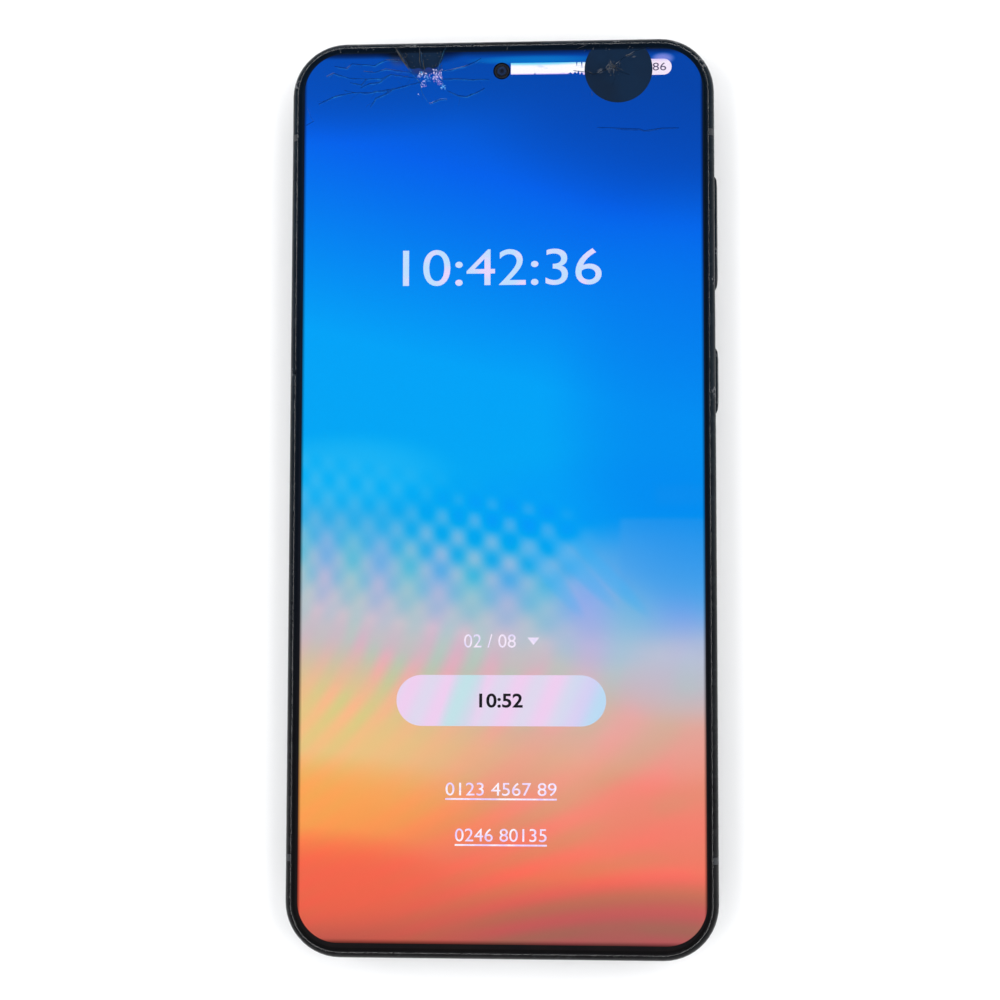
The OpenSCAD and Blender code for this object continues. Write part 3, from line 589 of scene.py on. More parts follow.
def make_print():
    white = ui_material("title_light", (0.90, 0.83, 0.98), (0.74, 0.86, 0.99), 0.22)
    digits("ui_title", "10:42:36", -17.3, 17.5, 36.2, 42.6, 8.010, 8.018, bold=0.0, slot="display_face", m=white)
    small = ui_material("small_light", (0.95, 0.90, 0.97), (0.88, 0.84, 0.97), 0.5)
    digits("ui_line", "02 / 08", -6.35, 2.6, -26.9, -24.6, 8.010, 8.018, bold=0.0, slot="display_face", m=small)
    prism("ui_arrow", [[(4.6, -25.15), (6.65, -25.15), (5.63, -26.45)]], 8.010, 8.018, slot="display_face", m=small)
    # pill-shaped button with the same slanted stripes as the screen below it
    m = Mat("button_light", rough=0.6, spec=0.0, colour=(0.02, 0.02, 0.02))
    x, y = m.x, m.y
    u = x - 0.3 * y - 10.8
    c = m.mix(m.step(u, 8, 18), (0.90, 0.82, 0.93), (0.75, 0.83, 0.95))
    c = m.mix(0.8 * m.blob(u, y, -6.5, -36, 1.8, 12), c, (0.75, 0.87, 0.90))
    s = m.sin(1.02 * x - 0.45 * y + 2.2)
    c = m.add(s * 0.030, c, (1.0, -0.6, 0.1))
    m.glow(m.to_light(c), 1.09)
    prism("ui_button", [rounded(-18.0, 18.1, -40.35, -31.6, 4.37, 20)], 8.006, 8.014, slot="display_face", m=m)
    dark = Mat("button_figures", rough=0.5, spec=0.2)
    dark.set("Base Color", dark.mix(dark.noise(1.0), (0.006, 0.006, 0.008), (0.012, 0.012, 0.016)))
    digits("ui_button_digits", "10:52", -3.7, 3.8, -37.2, -34.75, 8.020, 8.026, bold=0.022, slot="display_face", m=dark)
    link = ui_material("link_light", (0.99, 0.96, 1.0), (0.90, 0.80, 0.99), 0.6)
    digits("ui_link_a", "0123 4567 89", -9.45, 9.6, -52.2, -50.0, 8.010, 8.018, bold=0.0, slot="display_face", m=link)
    prism("ui_link_a_rule", [rounded(-9.5, 9.65, -52.95, -52.65, 0.05, 2)], 8.010, 8.018, slot="display_face", m=link)
    digits("ui_link_b", "0246 80135", -7.8, 7.9, -60.0, -57.8, 8.010, 8.018, bold=0.0, slot="display_face", m=link)
    prism("ui_link_b_rule", [rounded(-7.85, 7.95, -60.75, -60.45, 0.05, 2)], 8.010, 8.018, slot="display_face", m=link)
    # bright bar beside the front camera, broken at its end by the dead disc
    m = Mat("bar_light", rough=0.6, spec=0.0, colour=(0.02, 0.02, 0.02))
    x, y = m.x, m.y
    c = m.mix(m.blob(x, y, 6.0, 76.35, 7.5, 0.62) * 0.9, (0.99, 0.98, 1.0), (0.12, 0.74, 0.95))
    c = m.mix(m.step(m.noise(1.6, 2, 0.5, 6, (0.35, 1, 1)), 0.55, 0.72) * 0.35, c, (0.62, 0.75, 1.0))
    c = m.mix(m.step(y, 73.95, 73.7) * 0.5, c, (0.70, 0.50, 0.95))
    m.glow(m.to_light(c), 1.09)
    bar = [(1.6, 73.72), (5.7, 73.68), (5.83, 74.0), (5.98, 73.68), (11.6, 73.66), (12.1, 73.95), (12.5, 73.62), (12.9, 74.05), (13.2, 73.7), (13.5, 74.2),
           (13.75, 73.5), (14.1, 74.0), (14.35, 73.45), (15.0, 73.6), (15.2, 75.7), (14.2, 75.75), (14.1, 74.6), (13.95, 75.75), (13.3, 75.72), (13.2, 74.9),
           (13.08, 75.74), (1.6, 75.78)]
    prism("ui_bar", [bar], 8.010, 8.018, slot="display_face", m=m)
    m = Mat("battery_light", rough=0.6, spec=0.0, colour=(0.02, 0.02, 0.02))
    c = m.mix(m.step(m.y, 75.5, 76.2) * 0.6, (0.95, 0.90, 0.98), (0.74, 0.70, 0.95))
    c = m.mix(m.step(m.noise(0.9, 2), 0.5, 0.7) * 0.3, c, (1.0, 0.80, 0.92))
    m.glow(m.to_light(c), 1.09)
    prism("ui_battery", [rounded(19.0, 29.8, 73.25, 76.1, 1.4, 14)], 8.006, 8.014, slot="display_face", m=m)
    grey = Mat("battery_figures", rough=0.5, spec=0.2)
    grey.set("Base Color", grey.mix(grey.noise(1.0), (0.10, 0.08, 0.17), (0.14, 0.11, 0.22)))
    digits("ui_battery_digits", "86", 26.5, 28.85, 74.0, 75.4, 8.020, 8.026, bold=0.0, slot="display_face", m=grey)


def ink_material(name, wet=0.6, lift=1.0):
    m = Mat(name, rough=wet, spec=0.05)
    # painted reflection: the ink runs from grey at the bottom to navy at the top, a reflection painted into its colour;
    # the darker noise patches are its own tone
    y = m.step(m.y, -60, 60)
    c = m.mix(y, (0.0110, 0.0088, 0.0090), (0.0036, 0.0110, 0.0270))
    c = m.mix(m.step(m.noise(0.12, 2, 0.5, 3), 0.35, 0.7) * 0.4, c, (0.004, 0.005, 0.008))
    m.set("Base Color", m.dim(c, lift))
    m.set("Roughness", m.blend(m.noise(0.8, 2, 0.5, 2), wet - 0.05, wet + 0.1))
    return m


def make_border():
    ink = ink_material("border_ink", 0.6, 1.15)
    bm = bmesh.new()
    band_into(bm, rounded(-36.1, 36.1, -78.9, 78.9, 8.4, 24), rounded(-34.95, 35.15, -77.35, 77.9, 7.0, 24), 8.040, 8.047)
    new_object("border_ink", bm, slot="screen_glass", m=ink)
    # dead disc over the top right, and the two dead lobes left of the front camera
    dead = ink_material("dead_screen", 0.7, 2.9)
    circle = [(x, min(y, 78.4)) for x, y in disc(20.51, 74.35, 5.95, 128)]
    prism("dead_disc", [dedupe(circle)], 8.030, 8.037, slot="display_face", m=dead)
    patch = soft_loop([(-18.6, 79.4), (-18.0, 78.1), (-17.3, 76.7), (-16.5, 75.3), (-15.6, 75.0), (-14.7, 75.15), (-13.9, 74.85), (-13.0, 75.25), (-12.2, 75.0),
                       (-11.4, 75.3), (-10.8, 76.0), (-10.3, 77.1), (-10.1, 78.2), (-10.0, 79.4)])
    prism("dead_patch", [dedupe([(x, min(y, 78.4)) for x, y in patch])], 8.026, 8.029, slot="display_face", m=dead)


def dedupe(pts):
    out = []
    for p in pts:
        if not out or (Vector(p) - Vector(out[-1])).length > 1e-3:
            out.append(p)
    while (Vector(out[0]) - Vector(out[-1])).length <= 1e-3:
        out.pop()
    return out


# ---------------------------------------------------------------- glass and its damage
CRACKS = [
    [[-18.4, 78.8], [-17, 76.5], [-15.8, 74.2], [-14.4, 72.5], [-14, 70.5], [-12.8, 68.6]],
    [[-9.9, 78.8], [-11, 76.2], [-11.2, 74.4], [-9.6, 70.9]],
    [[-14.5, 78.8], [-14.2, 76.6], [-13.8, 75.2]],
    [[-15.8, 74.2], [-20.4, 75], [-22.4, 74.4], [-24.4, 74.6]],
    [[-17, 76.5], [-20.5, 76.6], [-22.5, 75.6], [-26.5, 76]],
    [[-15, 73.2], [-19.6, 74], [-21.2, 73.2], [-24, 73.2], [-27, 73.4]],
    [[-19.6, 74], [-21.6, 72.6], [-23.4, 72.4], [-25, 71.6]],
    [[-24, 73.2], [-24.8, 72.2], [-26.8, 72.6]],
    [[-14.4, 72.5], [-19, 71.4], [-23.2, 70.8], [-26, 70.8], [-27.8, 71.2]],
    [[-26, 70.8], [-28.8, 70.4], [-30.8, 69.6], [-32.4, 68.8]],
    [[-19, 71.4], [-21.2, 70.2], [-22.2, 69.8], [-23.2, 68.2]],
    [[-27, 73.4], [-29.8, 74.4], [-31, 73.8]],
    [[-26.5, 76], [-27.4, 75.2], [-29.6, 75.6]],
    [[-11.2, 74.4], [-9, 74.6], [-6.6, 75.2], [-4.6, 76], [-3.6, 76.6]],
    [[-10.6, 73], [-7.4, 73], [-5, 72.8], [-2.2, 72.8]],
    [[-9.6, 70.9], [-7.6, 70], [-6.2, 69.8], [-4.2, 70.6], [-3, 71.2]],
    [[-12.8, 68.6], [-10.8, 69.4], [-9.6, 69.4]],
    [[12.6, 74.1], [14.8, 73.8], [16.2, 73.3], [17.4, 73.8], [19.4, 74.6]],
    [[19.4, 74.6], [21.4, 76.2], [23.4, 77.4], [26.8, 78.3]],
    [[19.4, 74.6], [21.2, 73.6], [22.4, 73.2]],
    [[19.4, 74.6], [18.6, 76.6], [19.3, 78.8]],
    [[19.4, 74.6], [20, 72.6], [19.4, 71.4]],
    [[16.8, 63.9], [20.4, 63.7], [24.2, 63.5], [25, 63.2], [28, 63.6], [31, 63.6]],
    [[-34.4, 68.4], [-33.8, 66.6], [-33.2, 65.8], [-34.6, 65]],
]


def make_glass():
    g = Mat("cover_glass", rough=0.0)
    g.b.inputs["Transmission Weight"].default_value = 1.0
    g.b.inputs["IOR"].default_value = 1.5
    g.set("Base Color", g.mix(g.noise(0.3, 2), (0.985, 0.99, 0.99), (1.0, 1.0, 1.0)))
    g.let_light_through()
    dress(NODES["cover_glass"], g)

    # painted shade and glint of the cracks: thin sheets in the glass under each crack, dark where they lie over the lit
    # screen (painted shade) and pale where they lie over the black border (painted glint)
    rng = random.Random(7)
    m = Mat("fracture", rough=0.5, spec=0.3)
    glint_over_black = m.clip(m.step(m.y, 77.7, 78.0) + m.blob(m.x, m.y, 20.51, 74.35, 3.4, 3.4) * 3 + m.blob(m.x, m.y, -14.2, 77.4, 2.4, 1.4) * 3)
    c = m.mix(m.step(m.noise(1.7, 3), 0.4, 0.62), (0.002, 0.012, 0.07), (0.010, 0.06, 0.22))
    m.set("Base Color", m.mix(glint_over_black, c, (0.022, 0.023, 0.026)))
    m.b.inputs["Alpha"].default_value = 0.22
    bm, painted_glint_edge = bmesh.new(), bmesh.new()
    for i, line in enumerate(CRACKS):
        main = wander(line, rng)
        lean = rng.uniform(-0.14, 0.14)
        if 17 < i < 22:
            continue
        w = 0.17 if i < 17 else 0.10
        if i >= 22:
            w = 0.07
        sliver_into(bm, main, w, 8.60, 8.20, lean=lean, w_low=w * 0.5)
        # a paler sheet just below the crack: painted glint
        if i < 17:
            sliver_into(painted_glint_edge, [(px + 0.04, py - 0.17) for px, py in main], 0.10, 8.44, 8.38, tail=0.5)
    new_object("fracture_main", bm, slot="screen_glass", m=m)
    # painted glint: paler blue sheets just below the main cracks, for their edges catching the screen's light
    glint = Mat("fracture_painted_glint", rough=0.5, spec=0.3)
    glint.set("Base Color", glint.mix(glint.step(glint.noise(1.1, 2), 0.42, 0.6), (0.010, 0.16, 0.50), (0.03, 0.30, 0.62)))
    glint.b.inputs["Alpha"].default_value = 0.26
    new_object("fracture_painted_glint_edge", painted_glint_edge, slot="screen_glass", m=glint)
    # finer cracks that leave the first ones, drawn with the same painted shade and glint
    bm = bmesh.new()
    for line in CRACKS[:17]:
        pts = [Vector(p) for p in wander(line, rng)]
        for a, b in zip(pts, pts[1:]):
            if rng.random() < 0.30:
                d = (b - a).normalized()
                turn = rng.choice((-1, 1)) * rng.uniform(0.5, 1.2)
                d.rotate(Matrix.Rotation(turn, 2))
                length = rng.uniform(0.8, 2.6)
                q = [a]
                for k in range(3):
                    d.rotate(Matrix.Rotation(rng.uniform(-0.35, 0.35), 2))
                    q.append(q[-1] + d * length / 3)
                if max(p.y for p in q) < 77.8 and min(p.x for p in q) > -34:
                    sliver_into(bm, [(p.x, p.y) for p in q], 0.07, 8.55, 8.35, lean=0.03, w_low=0.03, tail=0.6)
    new_object("fracture_fine", bm, slot="screen_glass", m=m)

    # crushed glass at the two knocks: small pale splinters that still sit in place; their pink and blue tints and their
    # glow are painted light, the screen's light they scatter
    def splinters(name, spots, m, seed, z0=8.62, z1=8.66):
        r = random.Random(seed)
        bm = bmesh.new()
        for x0, x1, y0, y1, count, size in spots:
            for _ in range(count):
                cx, cy = r.uniform(x0, x1), r.uniform(y0, y1)
                a0 = r.uniform(0, 6.28)
                k = r.randint(3, 5)
                s = size * r.uniform(0.45, 1.2)
                squeeze, lean = r.uniform(0.35, 0.9), r.uniform(0, 3.14)
                pts = []
                for i in range(k):
                    t = a0 + 6.2832 * (i + r.uniform(-0.25, 0.25)) / k
                    u, v = s * math.cos(t), s * math.sin(t) * squeeze
                    pts.append((cx + u * math.cos(lean) - v * math.sin(lean), cy + u * math.sin(lean) + v * math.cos(lean)))
                dz = r.uniform(0, 0.1)
                prism_into(bm, pts, z0 + dz, z1 + dz)
        return new_object(name, bm, slot="screen_glass", m=m)

    def splinter_material(name, a, b, glow):
        s = Mat(name, rough=0.3, spec=0.7)
        c = s.mix(s.step(s.noise(2.2, 2, 0.5, 5), 0.42, 0.58), a, b)
        s.set("Base Color", c)
        # painted light: each splinter material glows in its own colour, as crushed glass scattering the screen's light;
        # the grey and brown ones glow only faintly
        s.glow(c, glow)
        return s

    pale = splinter_material("splinter_white", (0.62, 0.66, 0.90), (0.90, 0.78, 0.92), 0.50)
    pink = splinter_material("splinter_pink", (0.75, 0.28, 0.62), (0.85, 0.52, 0.85), 0.40)
    cyan = splinter_material("splinter_blue", (0.08, 0.36, 0.80), (0.35, 0.72, 0.95), 0.40)
    dull = splinter_material("splinter_grey", (0.022, 0.027, 0.034), (0.060, 0.062, 0.068), 0.02)
    brown = splinter_material("splinter_brown", (0.026, 0.028, 0.030), (0.055, 0.056, 0.058), 0.01)
    splinters("splinters_white", [(-14.8, -13.3, 73.3, 74.4, 30, 0.12), (-14.3, -13.3, 71.5, 72.9, 15, 0.10), (-12.2, -10.5, 72.8, 74.8, 48, 0.12),
                                  (-14.75, -14.6, 70.3, 70.45, 2, 0.12), (-11.6, -10.4, 71.9, 72.7, 5, 0.09)], pale, 11)
    splinters("splinters_pink", [(-14.2, -13.3, 71.6, 72.8, 8, 0.09), (-12.1, -10.5, 72.0, 74.4, 26, 0.09), (-13.0, -12.4, 73.0, 74.0, 5, 0.08)], pink, 14)
    splinters("splinters_blue", [(-13.6, -12.5, 72.6, 73.8, 20, 0.11), (-14.9, -13.8, 73.6, 74.6, 8, 0.10), (-10.7, -9.7, 71.1, 72.2, 18, 0.11), (-14.9, -14.5, 70.0, 70.6, 2, 0.08)], cyan, 12)
    splinters("splinters_grey", [(-17.6, -10.4, 75.3, 78.0, 26, 0.13), (18.8, 20.9, 72.7, 76.2, 20, 0.11), (14.5, 24, 77.6, 78.6, 10, 0.14),
                                 (-29.5, -18.5, 78.0, 78.8, 12, 0.13), (21.8, 23.3, 76.4, 76.9, 4, 0.08)], dull, 13)
    # the knocked-out splinter's edge on the left of the dead patch, and the streak down its middle, in the brown
    # splinter material with its faint painted glow
    bm = bmesh.new()
    sliver_into(bm, [(-18.9, 78.9), (-18.3, 77.9), (-17.6, 76.7), (-16.9, 75.6), (-16.3, 74.7)], 0.42, 8.70, 8.60, tail=0.35)
    sliver_into(bm, [(-14.6, 78.9), (-14.5, 77.8), (-14.55, 76.4), (-14.3, 75.2)], 0.20, 8.70, 8.60, tail=0.5)
    sliver_into(bm, [(-13.9, 76.6), (-13.8, 75.4), (-13.5, 74.4)], 0.22, 8.70, 8.60, tail=0.5)
    new_object("splinter_edges", bm, slot="screen_glass", m=brown)
    # scratches that fan out from the right-hand knock, in the grey splinter material with its faint painted glow
    r = random.Random(21)
    bm = bmesh.new()
    for i in range(11):
        a = 2 * math.pi * i / 11 + r.uniform(-0.25, 0.25)
        l = r.uniform(0.7, 1.9)
        c = Vector((19.7 + r.uniform(-0.3, 0.3), 74.5 + r.uniform(-0.4, 0.4)))
        d = Vector((math.cos(a), math.sin(a)))
        sliver_into(bm, [tuple(c + d * l * k / 3 + Vector((r.uniform(-0.05, 0.05), r.uniform(-0.05, 0.05)))) for k in range(4)], 0.07, 8.86, 8.82, tail=0.5)
    for a, b in (((20.3, 74.6), (20.9, 74.1)),
                 ((21.8, 76.4), (23.3, 76.95)), ((15.8, 70.3), (15.85, 69.3)), ((13.3, 78.0), (15.3, 78.8)), ((1.0, 78.8), (0.9, 77.9)), ((14.9, 74.0), (16.0, 73.5))):
        sliver_into(bm, [a, ((a[0] + b[0]) / 2 + 0.05, (a[1] + b[1]) / 2), b], 0.10, 8.86, 8.82, tail=0.5)
    new_object("scratches", bm, slot="screen_glass", m=dull)
    # soft rubbed strokes in the middle of the dead disc
    rub = Mat("rubbed_glass", rough=0.7, spec=0.2)
    rub.set("Base Color", rub.mix(rub.noise(2.6, 3), (0.05, 0.055, 0.065), (0.16, 0.17, 0.19)))
    rub.b.inputs["Alpha"].default_value = 0.42
    bm = bmesh.new()
    r = random.Random(33)
    for i in range(34):
        cx, cy = 19.5 + r.gauss(0, 0.55), 74.55 + r.gauss(0, 0.62)
        a = math.radians(90 + r.gauss(0, 24))
        h = r.uniform(0.12, 0.5)
        bend = r.uniform(-0.06, 0.06)
        line = [(cx - h * math.cos(a), cy - h * math.sin(a)), (cx + bend, cy + bend), (cx + h * math.cos(a), cy + h * math.sin(a))]
        sliver_into(bm, line, r.uniform(0.07, 0.2), 8.80, 8.76, tail=0.5)
    for i in range(9):
        cx, cy = 22.4 + r.gauss(0, 0.4), 76.6 + r.gauss(0, 0.12)
        h = r.uniform(0.15, 0.4)
        sliver_into(bm, [(cx - h, cy - 0.35 * h), (cx, cy + 0.02), (cx + h, cy + 0.35 * h)], r.uniform(0.08, 0.18), 8.80, 8.76, tail=0.5)
    for i in range(7):
        cx, cy = 17.4 + r.gauss(0, 0.35), 73.8 + r.gauss(0, 0.22)
        h = r.uniform(0.15, 0.45)
        sliver_into(bm, [(cx - h, cy - 0.7 * h), (cx, cy), (cx + h, cy + 0.7 * h)], r.uniform(0.06, 0.14), 8.80, 8.76, tail=0.5)
    new_object("scuff", bm, slot="screen_glass", m=rub)


# ---------------------------------------------------------------- painted metal and its wear
WORN = [(-30.2, 79.6, 8.2, 1.6), (-34.6, 77.4, 8.0, 1.3), (-36.6, 72.6, 7.8, 2.2), (-37.0, 21.0, 7.5, 1.6), (37.1, 36.9, 7.5, 1.4),
        (37.0, 17.2, 7.6, 1.6), (37.1, -19.7, 6.9, 1.3), (-26.2, 79.8, 8.0, 1.8), (35.4, 76.2, 8.0, 3.0), (-34.8, -77.6, 6.5, 3.2),
        (36.4, -71.4, 2.6, 2.6), (30.7, 79.6, 8.2, 1.6), (12.8, 79.8, 8.3, 1.5), (-16.4, 79.8, 8.3, 2.2), (-10.2, 79.8, 8.3, 1.4),
        (-37.2, -40.0, 2.4, 1.8), (33.2, -78.2, 2.0, 2.4), (-34.7, 77.6, 2.0, 2.2), (20.0, 79.8, 8.3, 1.3), (-32.5, 78.8, 2.2, 2.0),
        (37.0, 70.5, 6.0, 2.4), (24.0, 79.9, 6.0, 1.6)]


def black_metal(name, spots, edge=0.35):
    m = Mat(name, metal=0.0, spec=0.09)
    tone = m.step(m.noise(0.11, 2, 0.5, 2), 0.3, 0.7)
    # painted reflection: the paint runs from dark grey at the bottom to navy at the top, a reflection painted into its
    # colour; the two tones mixed by noise are its own
    up = m.step(m.y, -70, 50)
    paint = m.mix(up, m.mix(tone, (0.0066, 0.0064, 0.0068), (0.0098, 0.0098, 0.0105)), m.mix(tone, (0.0040, 0.0072, 0.0112), (0.0060, 0.0106, 0.0160)))
    worn = None
    for sx, sy, sz, r in spots:
        b = m.ball(sx, sy, sz, r)
        worn = b if worn is None else m.math("MAXIMUM", worn, b)
    chips = m.noise(1.3, 5, 0.62, 3, (1, 1, 1.6))
    if worn is None:
        bare = m.step(chips, 0.74, 0.80) * edge
    else:
        bare = m.clip(m.step(chips + worn * 0.13, 0.66, 0.70) * worn * 1.8)
    rub = m.step(m.noise(0.35, 4, 0.6, 8), 0.52, 0.75)
    m.set("Base Color", m.mix(bare, paint, (0.12, 0.125, 0.135)))
    m.set("Metallic", bare * 0.6)
    m.set("Roughness", m.clip(m.blend(rub, 0.26, 0.44) + bare * 0.12))
    m.bump(m.noise(7, 3, 0.6, 6), 0.006)
    m.bump(1 - bare, 0.03)
    return m


def make_outside():
    dress(NODES["frame"], black_metal("frame_paint", WORN))
    keys = [(37.4, 41.9, 5.6, 1.6), (37.4, 54.4, 4.9, 1.2), (37.4, 24.0, 5.4, 1.1), (37.4, 15.6, 5.4, 1.2)]
    km = black_metal("key_paint", keys)
    dress(NODES["volume_key"], km)
    dress(NODES["power_key"], km)
    dress(NODES["sim_tray"], black_metal("tray_paint", [(-24.6, 79.6, 5.8, 1.0)]))
    m = Mat("insulator", rough=0.5)
    m.set("Base Color", m.mix(m.noise(1.2, 3), (0.014, 0.0155, 0.0185), (0.021, 0.023, 0.027)))
    m.bump(m.noise(6, 3), 0.006)
    dress(NODES["antenna_breaks"], m)

    # back: gloss black glass with grease, fine swirls and a few long scratches
    m = Mat("back_glass", rough=0.1, spec=0.5)
    tone = m.step(m.y + 0.5 * m.x, -90, 90)
    c = m.mix(tone, (0.006, 0.0065, 0.009), (0.012, 0.0145, 0.021))
    scratch = None
    for seed, turn, thin, cut in ((4, 24, 2.6, 0.715), (14, -38, 2.4, 0.72), (23, 71, 2.8, 0.725)):
        one = m.step(m.noise(0.9, 2, 0.5, seed, (0.045, thin, 1), turn), cut, cut + 0.025) * m.step(m.noise(0.06, 2, 0.5, seed + 5), 0.50, 0.62)
        scratch = one if scratch is None else m.math("MAXIMUM", scratch, one)
    m.set("Base Color", m.mix(scratch * 0.7, c, (0.16, 0.16, 0.17)))
    grease = m.step(m.noise(0.07, 3, 0.6, 7), 0.42, 0.72)
    prints = m.step(m.sin(m.cells(0.05, "F1", 3) * 130) * 0.5 + 0.5, 0.4, 0.9) * m.step(m.noise(0.05, 1, 0.5, 12), 0.56, 0.68)
    m.set("Roughness", m.clip(0.06 + grease * 0.14 + prints * 0.07 + scratch * 0.3))
    m.b.inputs["Coat Weight"].default_value = 0.3
    m.b.inputs["Coat Roughness"].default_value = 0.08
    m.bump(1 - scratch, 0.01)
    dress(NODES["back_cover"], m)

    m = Mat("island_metal", metal=0.0, spec=0.5)
    edge = m.step(m.z, 0.45, 0.05)
    worn = m.step(m.noise(1.1, 5, 0.65, 5) + edge * 0.06, 0.70, 0.76) * edge
    m.set("Base Color", m.mix(worn, (0.014, 0.0145, 0.017), (0.38, 0.38, 0.40)))
    m.set("Metallic", worn * 0.8)
    m.set("Roughness", m.blend(m.noise(3.0, 3, 0.5, 2), 0.34, 0.50))
    m.bump(m.noise(9, 3, 0.6, 4), 0.010)
    dress(NODES["camera_bezel"], m)


def make_cameras():
    for n in ("main_lens_window", "wide_lens_window", "tele_lens_window"):
        g = Mat(n + "_glass", rough=0.0)
        g.b.inputs["Transmission Weight"].default_value = 1.0
        g.b.inputs["IOR"].default_value = 1.5
        g.set("Base Color", g.mix(g.noise(0.4, 2), (0.90, 0.93, 0.97), (0.96, 0.97, 1.0)))
        g.let_light_through()
        dress(NODES[n], g)
    g = Mat("flash_window_glass", rough=0.1)
    g.b.inputs["Transmission Weight"].default_value = 1.0
    g.b.inputs["IOR"].default_value = 1.5
    g.set("Base Color", g.mix(g.noise(1.2, 2), (0.96, 0.95, 0.88), (1.0, 0.99, 0.95)))
    g.bump(m_rings(g, 27.8, 65.8), 0.05)
    g.let_light_through()
    dress(NODES["flash_window"], g)

    barrel = Mat("lens_barrel", rough=0.45, spec=0.4)
    barrel.set("Base Color", barrel.mix(barrel.noise(2.0, 3), (0.006, 0.006, 0.007), (0.013, 0.013, 0.015)))
    barrel.bump(barrel.noise(12, 2), 0.004)
    for x, y, r, tag in ((20.2, 65.8, 4.4, "main"), (20.2, 53.0, 4.2, "wide"), (20.2, 41.3, 3.2, "tele")):
        # stepped light traps down the barrel
        a, b = r - 0.92, r * 0.42 + 0.02
        prof = [(a, 0.72)]
        steps = 6
        for i in range(steps):
            ra, rb = a + (b - a) * i / steps, a + (b - a) * (i + 1) / steps
            z = 0.78 + 0.80 * (i + 0.2) / steps
            prof += [(ra, z), (rb + 0.03, z)]
        prof += [(b, 1.60)]
        bm = bmesh.new()
        k = 72
        rings = [[bm.verts.new((x + q * math.cos(2 * math.pi * i / k), y + q * math.sin(2 * math.pi * i / k), z)) for i in range(k)] for q, z in prof]
        back = [[bm.verts.new((x + q * math.cos(2 * math.pi * i / k), y + q * math.sin(2 * math.pi * i / k), z)) for i in range(k)] for q, z in ((b, 1.66), (a, 1.66))]
        rings += back
        for u in range(len(rings)):
            p, q = rings[u], rings[(u + 1) % len(rings)]
            for i in range(k):
                j = (i + 1) % k
                bm.faces.new((p[i], p[j], q[j], q[i]))
        ob = new_object(f"{tag}_barrel_steps", bm, slot="module_black", m=barrel)
        # front element with its purple and green coating
        lens = Mat(f"{tag}_coated_lens", rough=0.03, spec=1.0)
        d = lens.t.nodes.new("ShaderNodeVectorMath")
        d.operation = "DISTANCE"
        lens.t.links.new(lens.p, d.inputs[0])
        d.inputs[1].default_value = (x, y, 1.2)
        q = Val(lens, d.outputs["Value"]) / (b + 0.55)
        lens.set("Base Color", lens.ramp(q, [(0.0, (0.004, 0.004, 0.006)), (0.30, (0.005, 0.006, 0.012)), (0.42, (0.02, 0.03, 0.10)),
                                             (0.62, (0.05, 0.03, 0.16)), (0.82, (0.02, 0.09, 0.10)), (1.0, (0.006, 0.006, 0.008))]))
        lens.b.inputs["Coat Weight"].default_value = 1.0
        lens.b.inputs["Coat Roughness"].default_value = 0.02
        bm = bmesh.new()
        rl, zb, h = b + 0.5, 1.34, 0.42
        rows, nr = [], 10
        for i in range(1, nr + 1):
            t = i / nr
            rows.append([bm.verts.new((x + rl * t * math.cos(2 * math.pi * s / k), y + rl * t * math.sin(2 * math.pi * s / k), zb - h * (1 - t * t))) for s in range(k)])
        top = bm.verts.new((x, y, zb - h))
        low = [bm.verts.new((x + rl * math.cos(2 * math.pi * s / k), y + rl * math.sin(2 * math.pi * s / k), zb + 0.08)) for s in range(k)]
        end = bm.verts.new((x, y, zb + 0.08))
        for s in range(k):
            j = (s + 1) % k
            bm.faces.new((top, rows[0][s], rows[0][j]))
            for p, q2 in zip(rows, rows[1:]):
                bm.faces.new((p[s], p[j], q2[j], q2[s]))
            bm.faces.new((rows[-1][s], rows[-1][j], low[j], low[s]))
            bm.faces.new((low[s], low[j], end))
        new_object(f"{tag}_front_element", bm, slot="lens_glass", m=lens, smooth=True)
    # bright trim rings let into the island round each window
    trim = Mat("trim_ring", metal=0.9, spec=0.5)
    trim.set("Base Color", trim.mix(trim.noise(3, 3), (0.09, 0.09, 0.10), (0.13, 0.13, 0.14)))
    trim.set("Roughness", trim.blend(trim.noise(8, 3, 0.6, 3), 0.22, 0.34))
    for x, y, r, tag in ((20.2, 65.8, 5.2, "main"), (20.2, 53.0, 5.2, "wide"), (20.2, 41.3, 4.2, "tele")):
        bm = bmesh.new()
        k = 96
        prof = [(r - 0.02, 0.004), (r - 0.10, 0.002), (r - 0.38, 0.030), (r - 0.42, 0.048), (r - 0.02, 0.048)]
        rings = [[bm.verts.new((x + q * math.cos(2 * math.pi * i / k), y + q * math.sin(2 * math.pi * i / k), z)) for i in range(k)] for q, z in prof]
        for u in range(len(rings)):
            p, q = rings[u], rings[(u + 1) % len(rings)]
            for i in range(k):
                j = (i + 1) % k
                bm.faces.new((p[i], p[j], q[j], q[i]))
        new_object(f"{tag}_trim_ring", bm, slot="island_metal", m=trim)
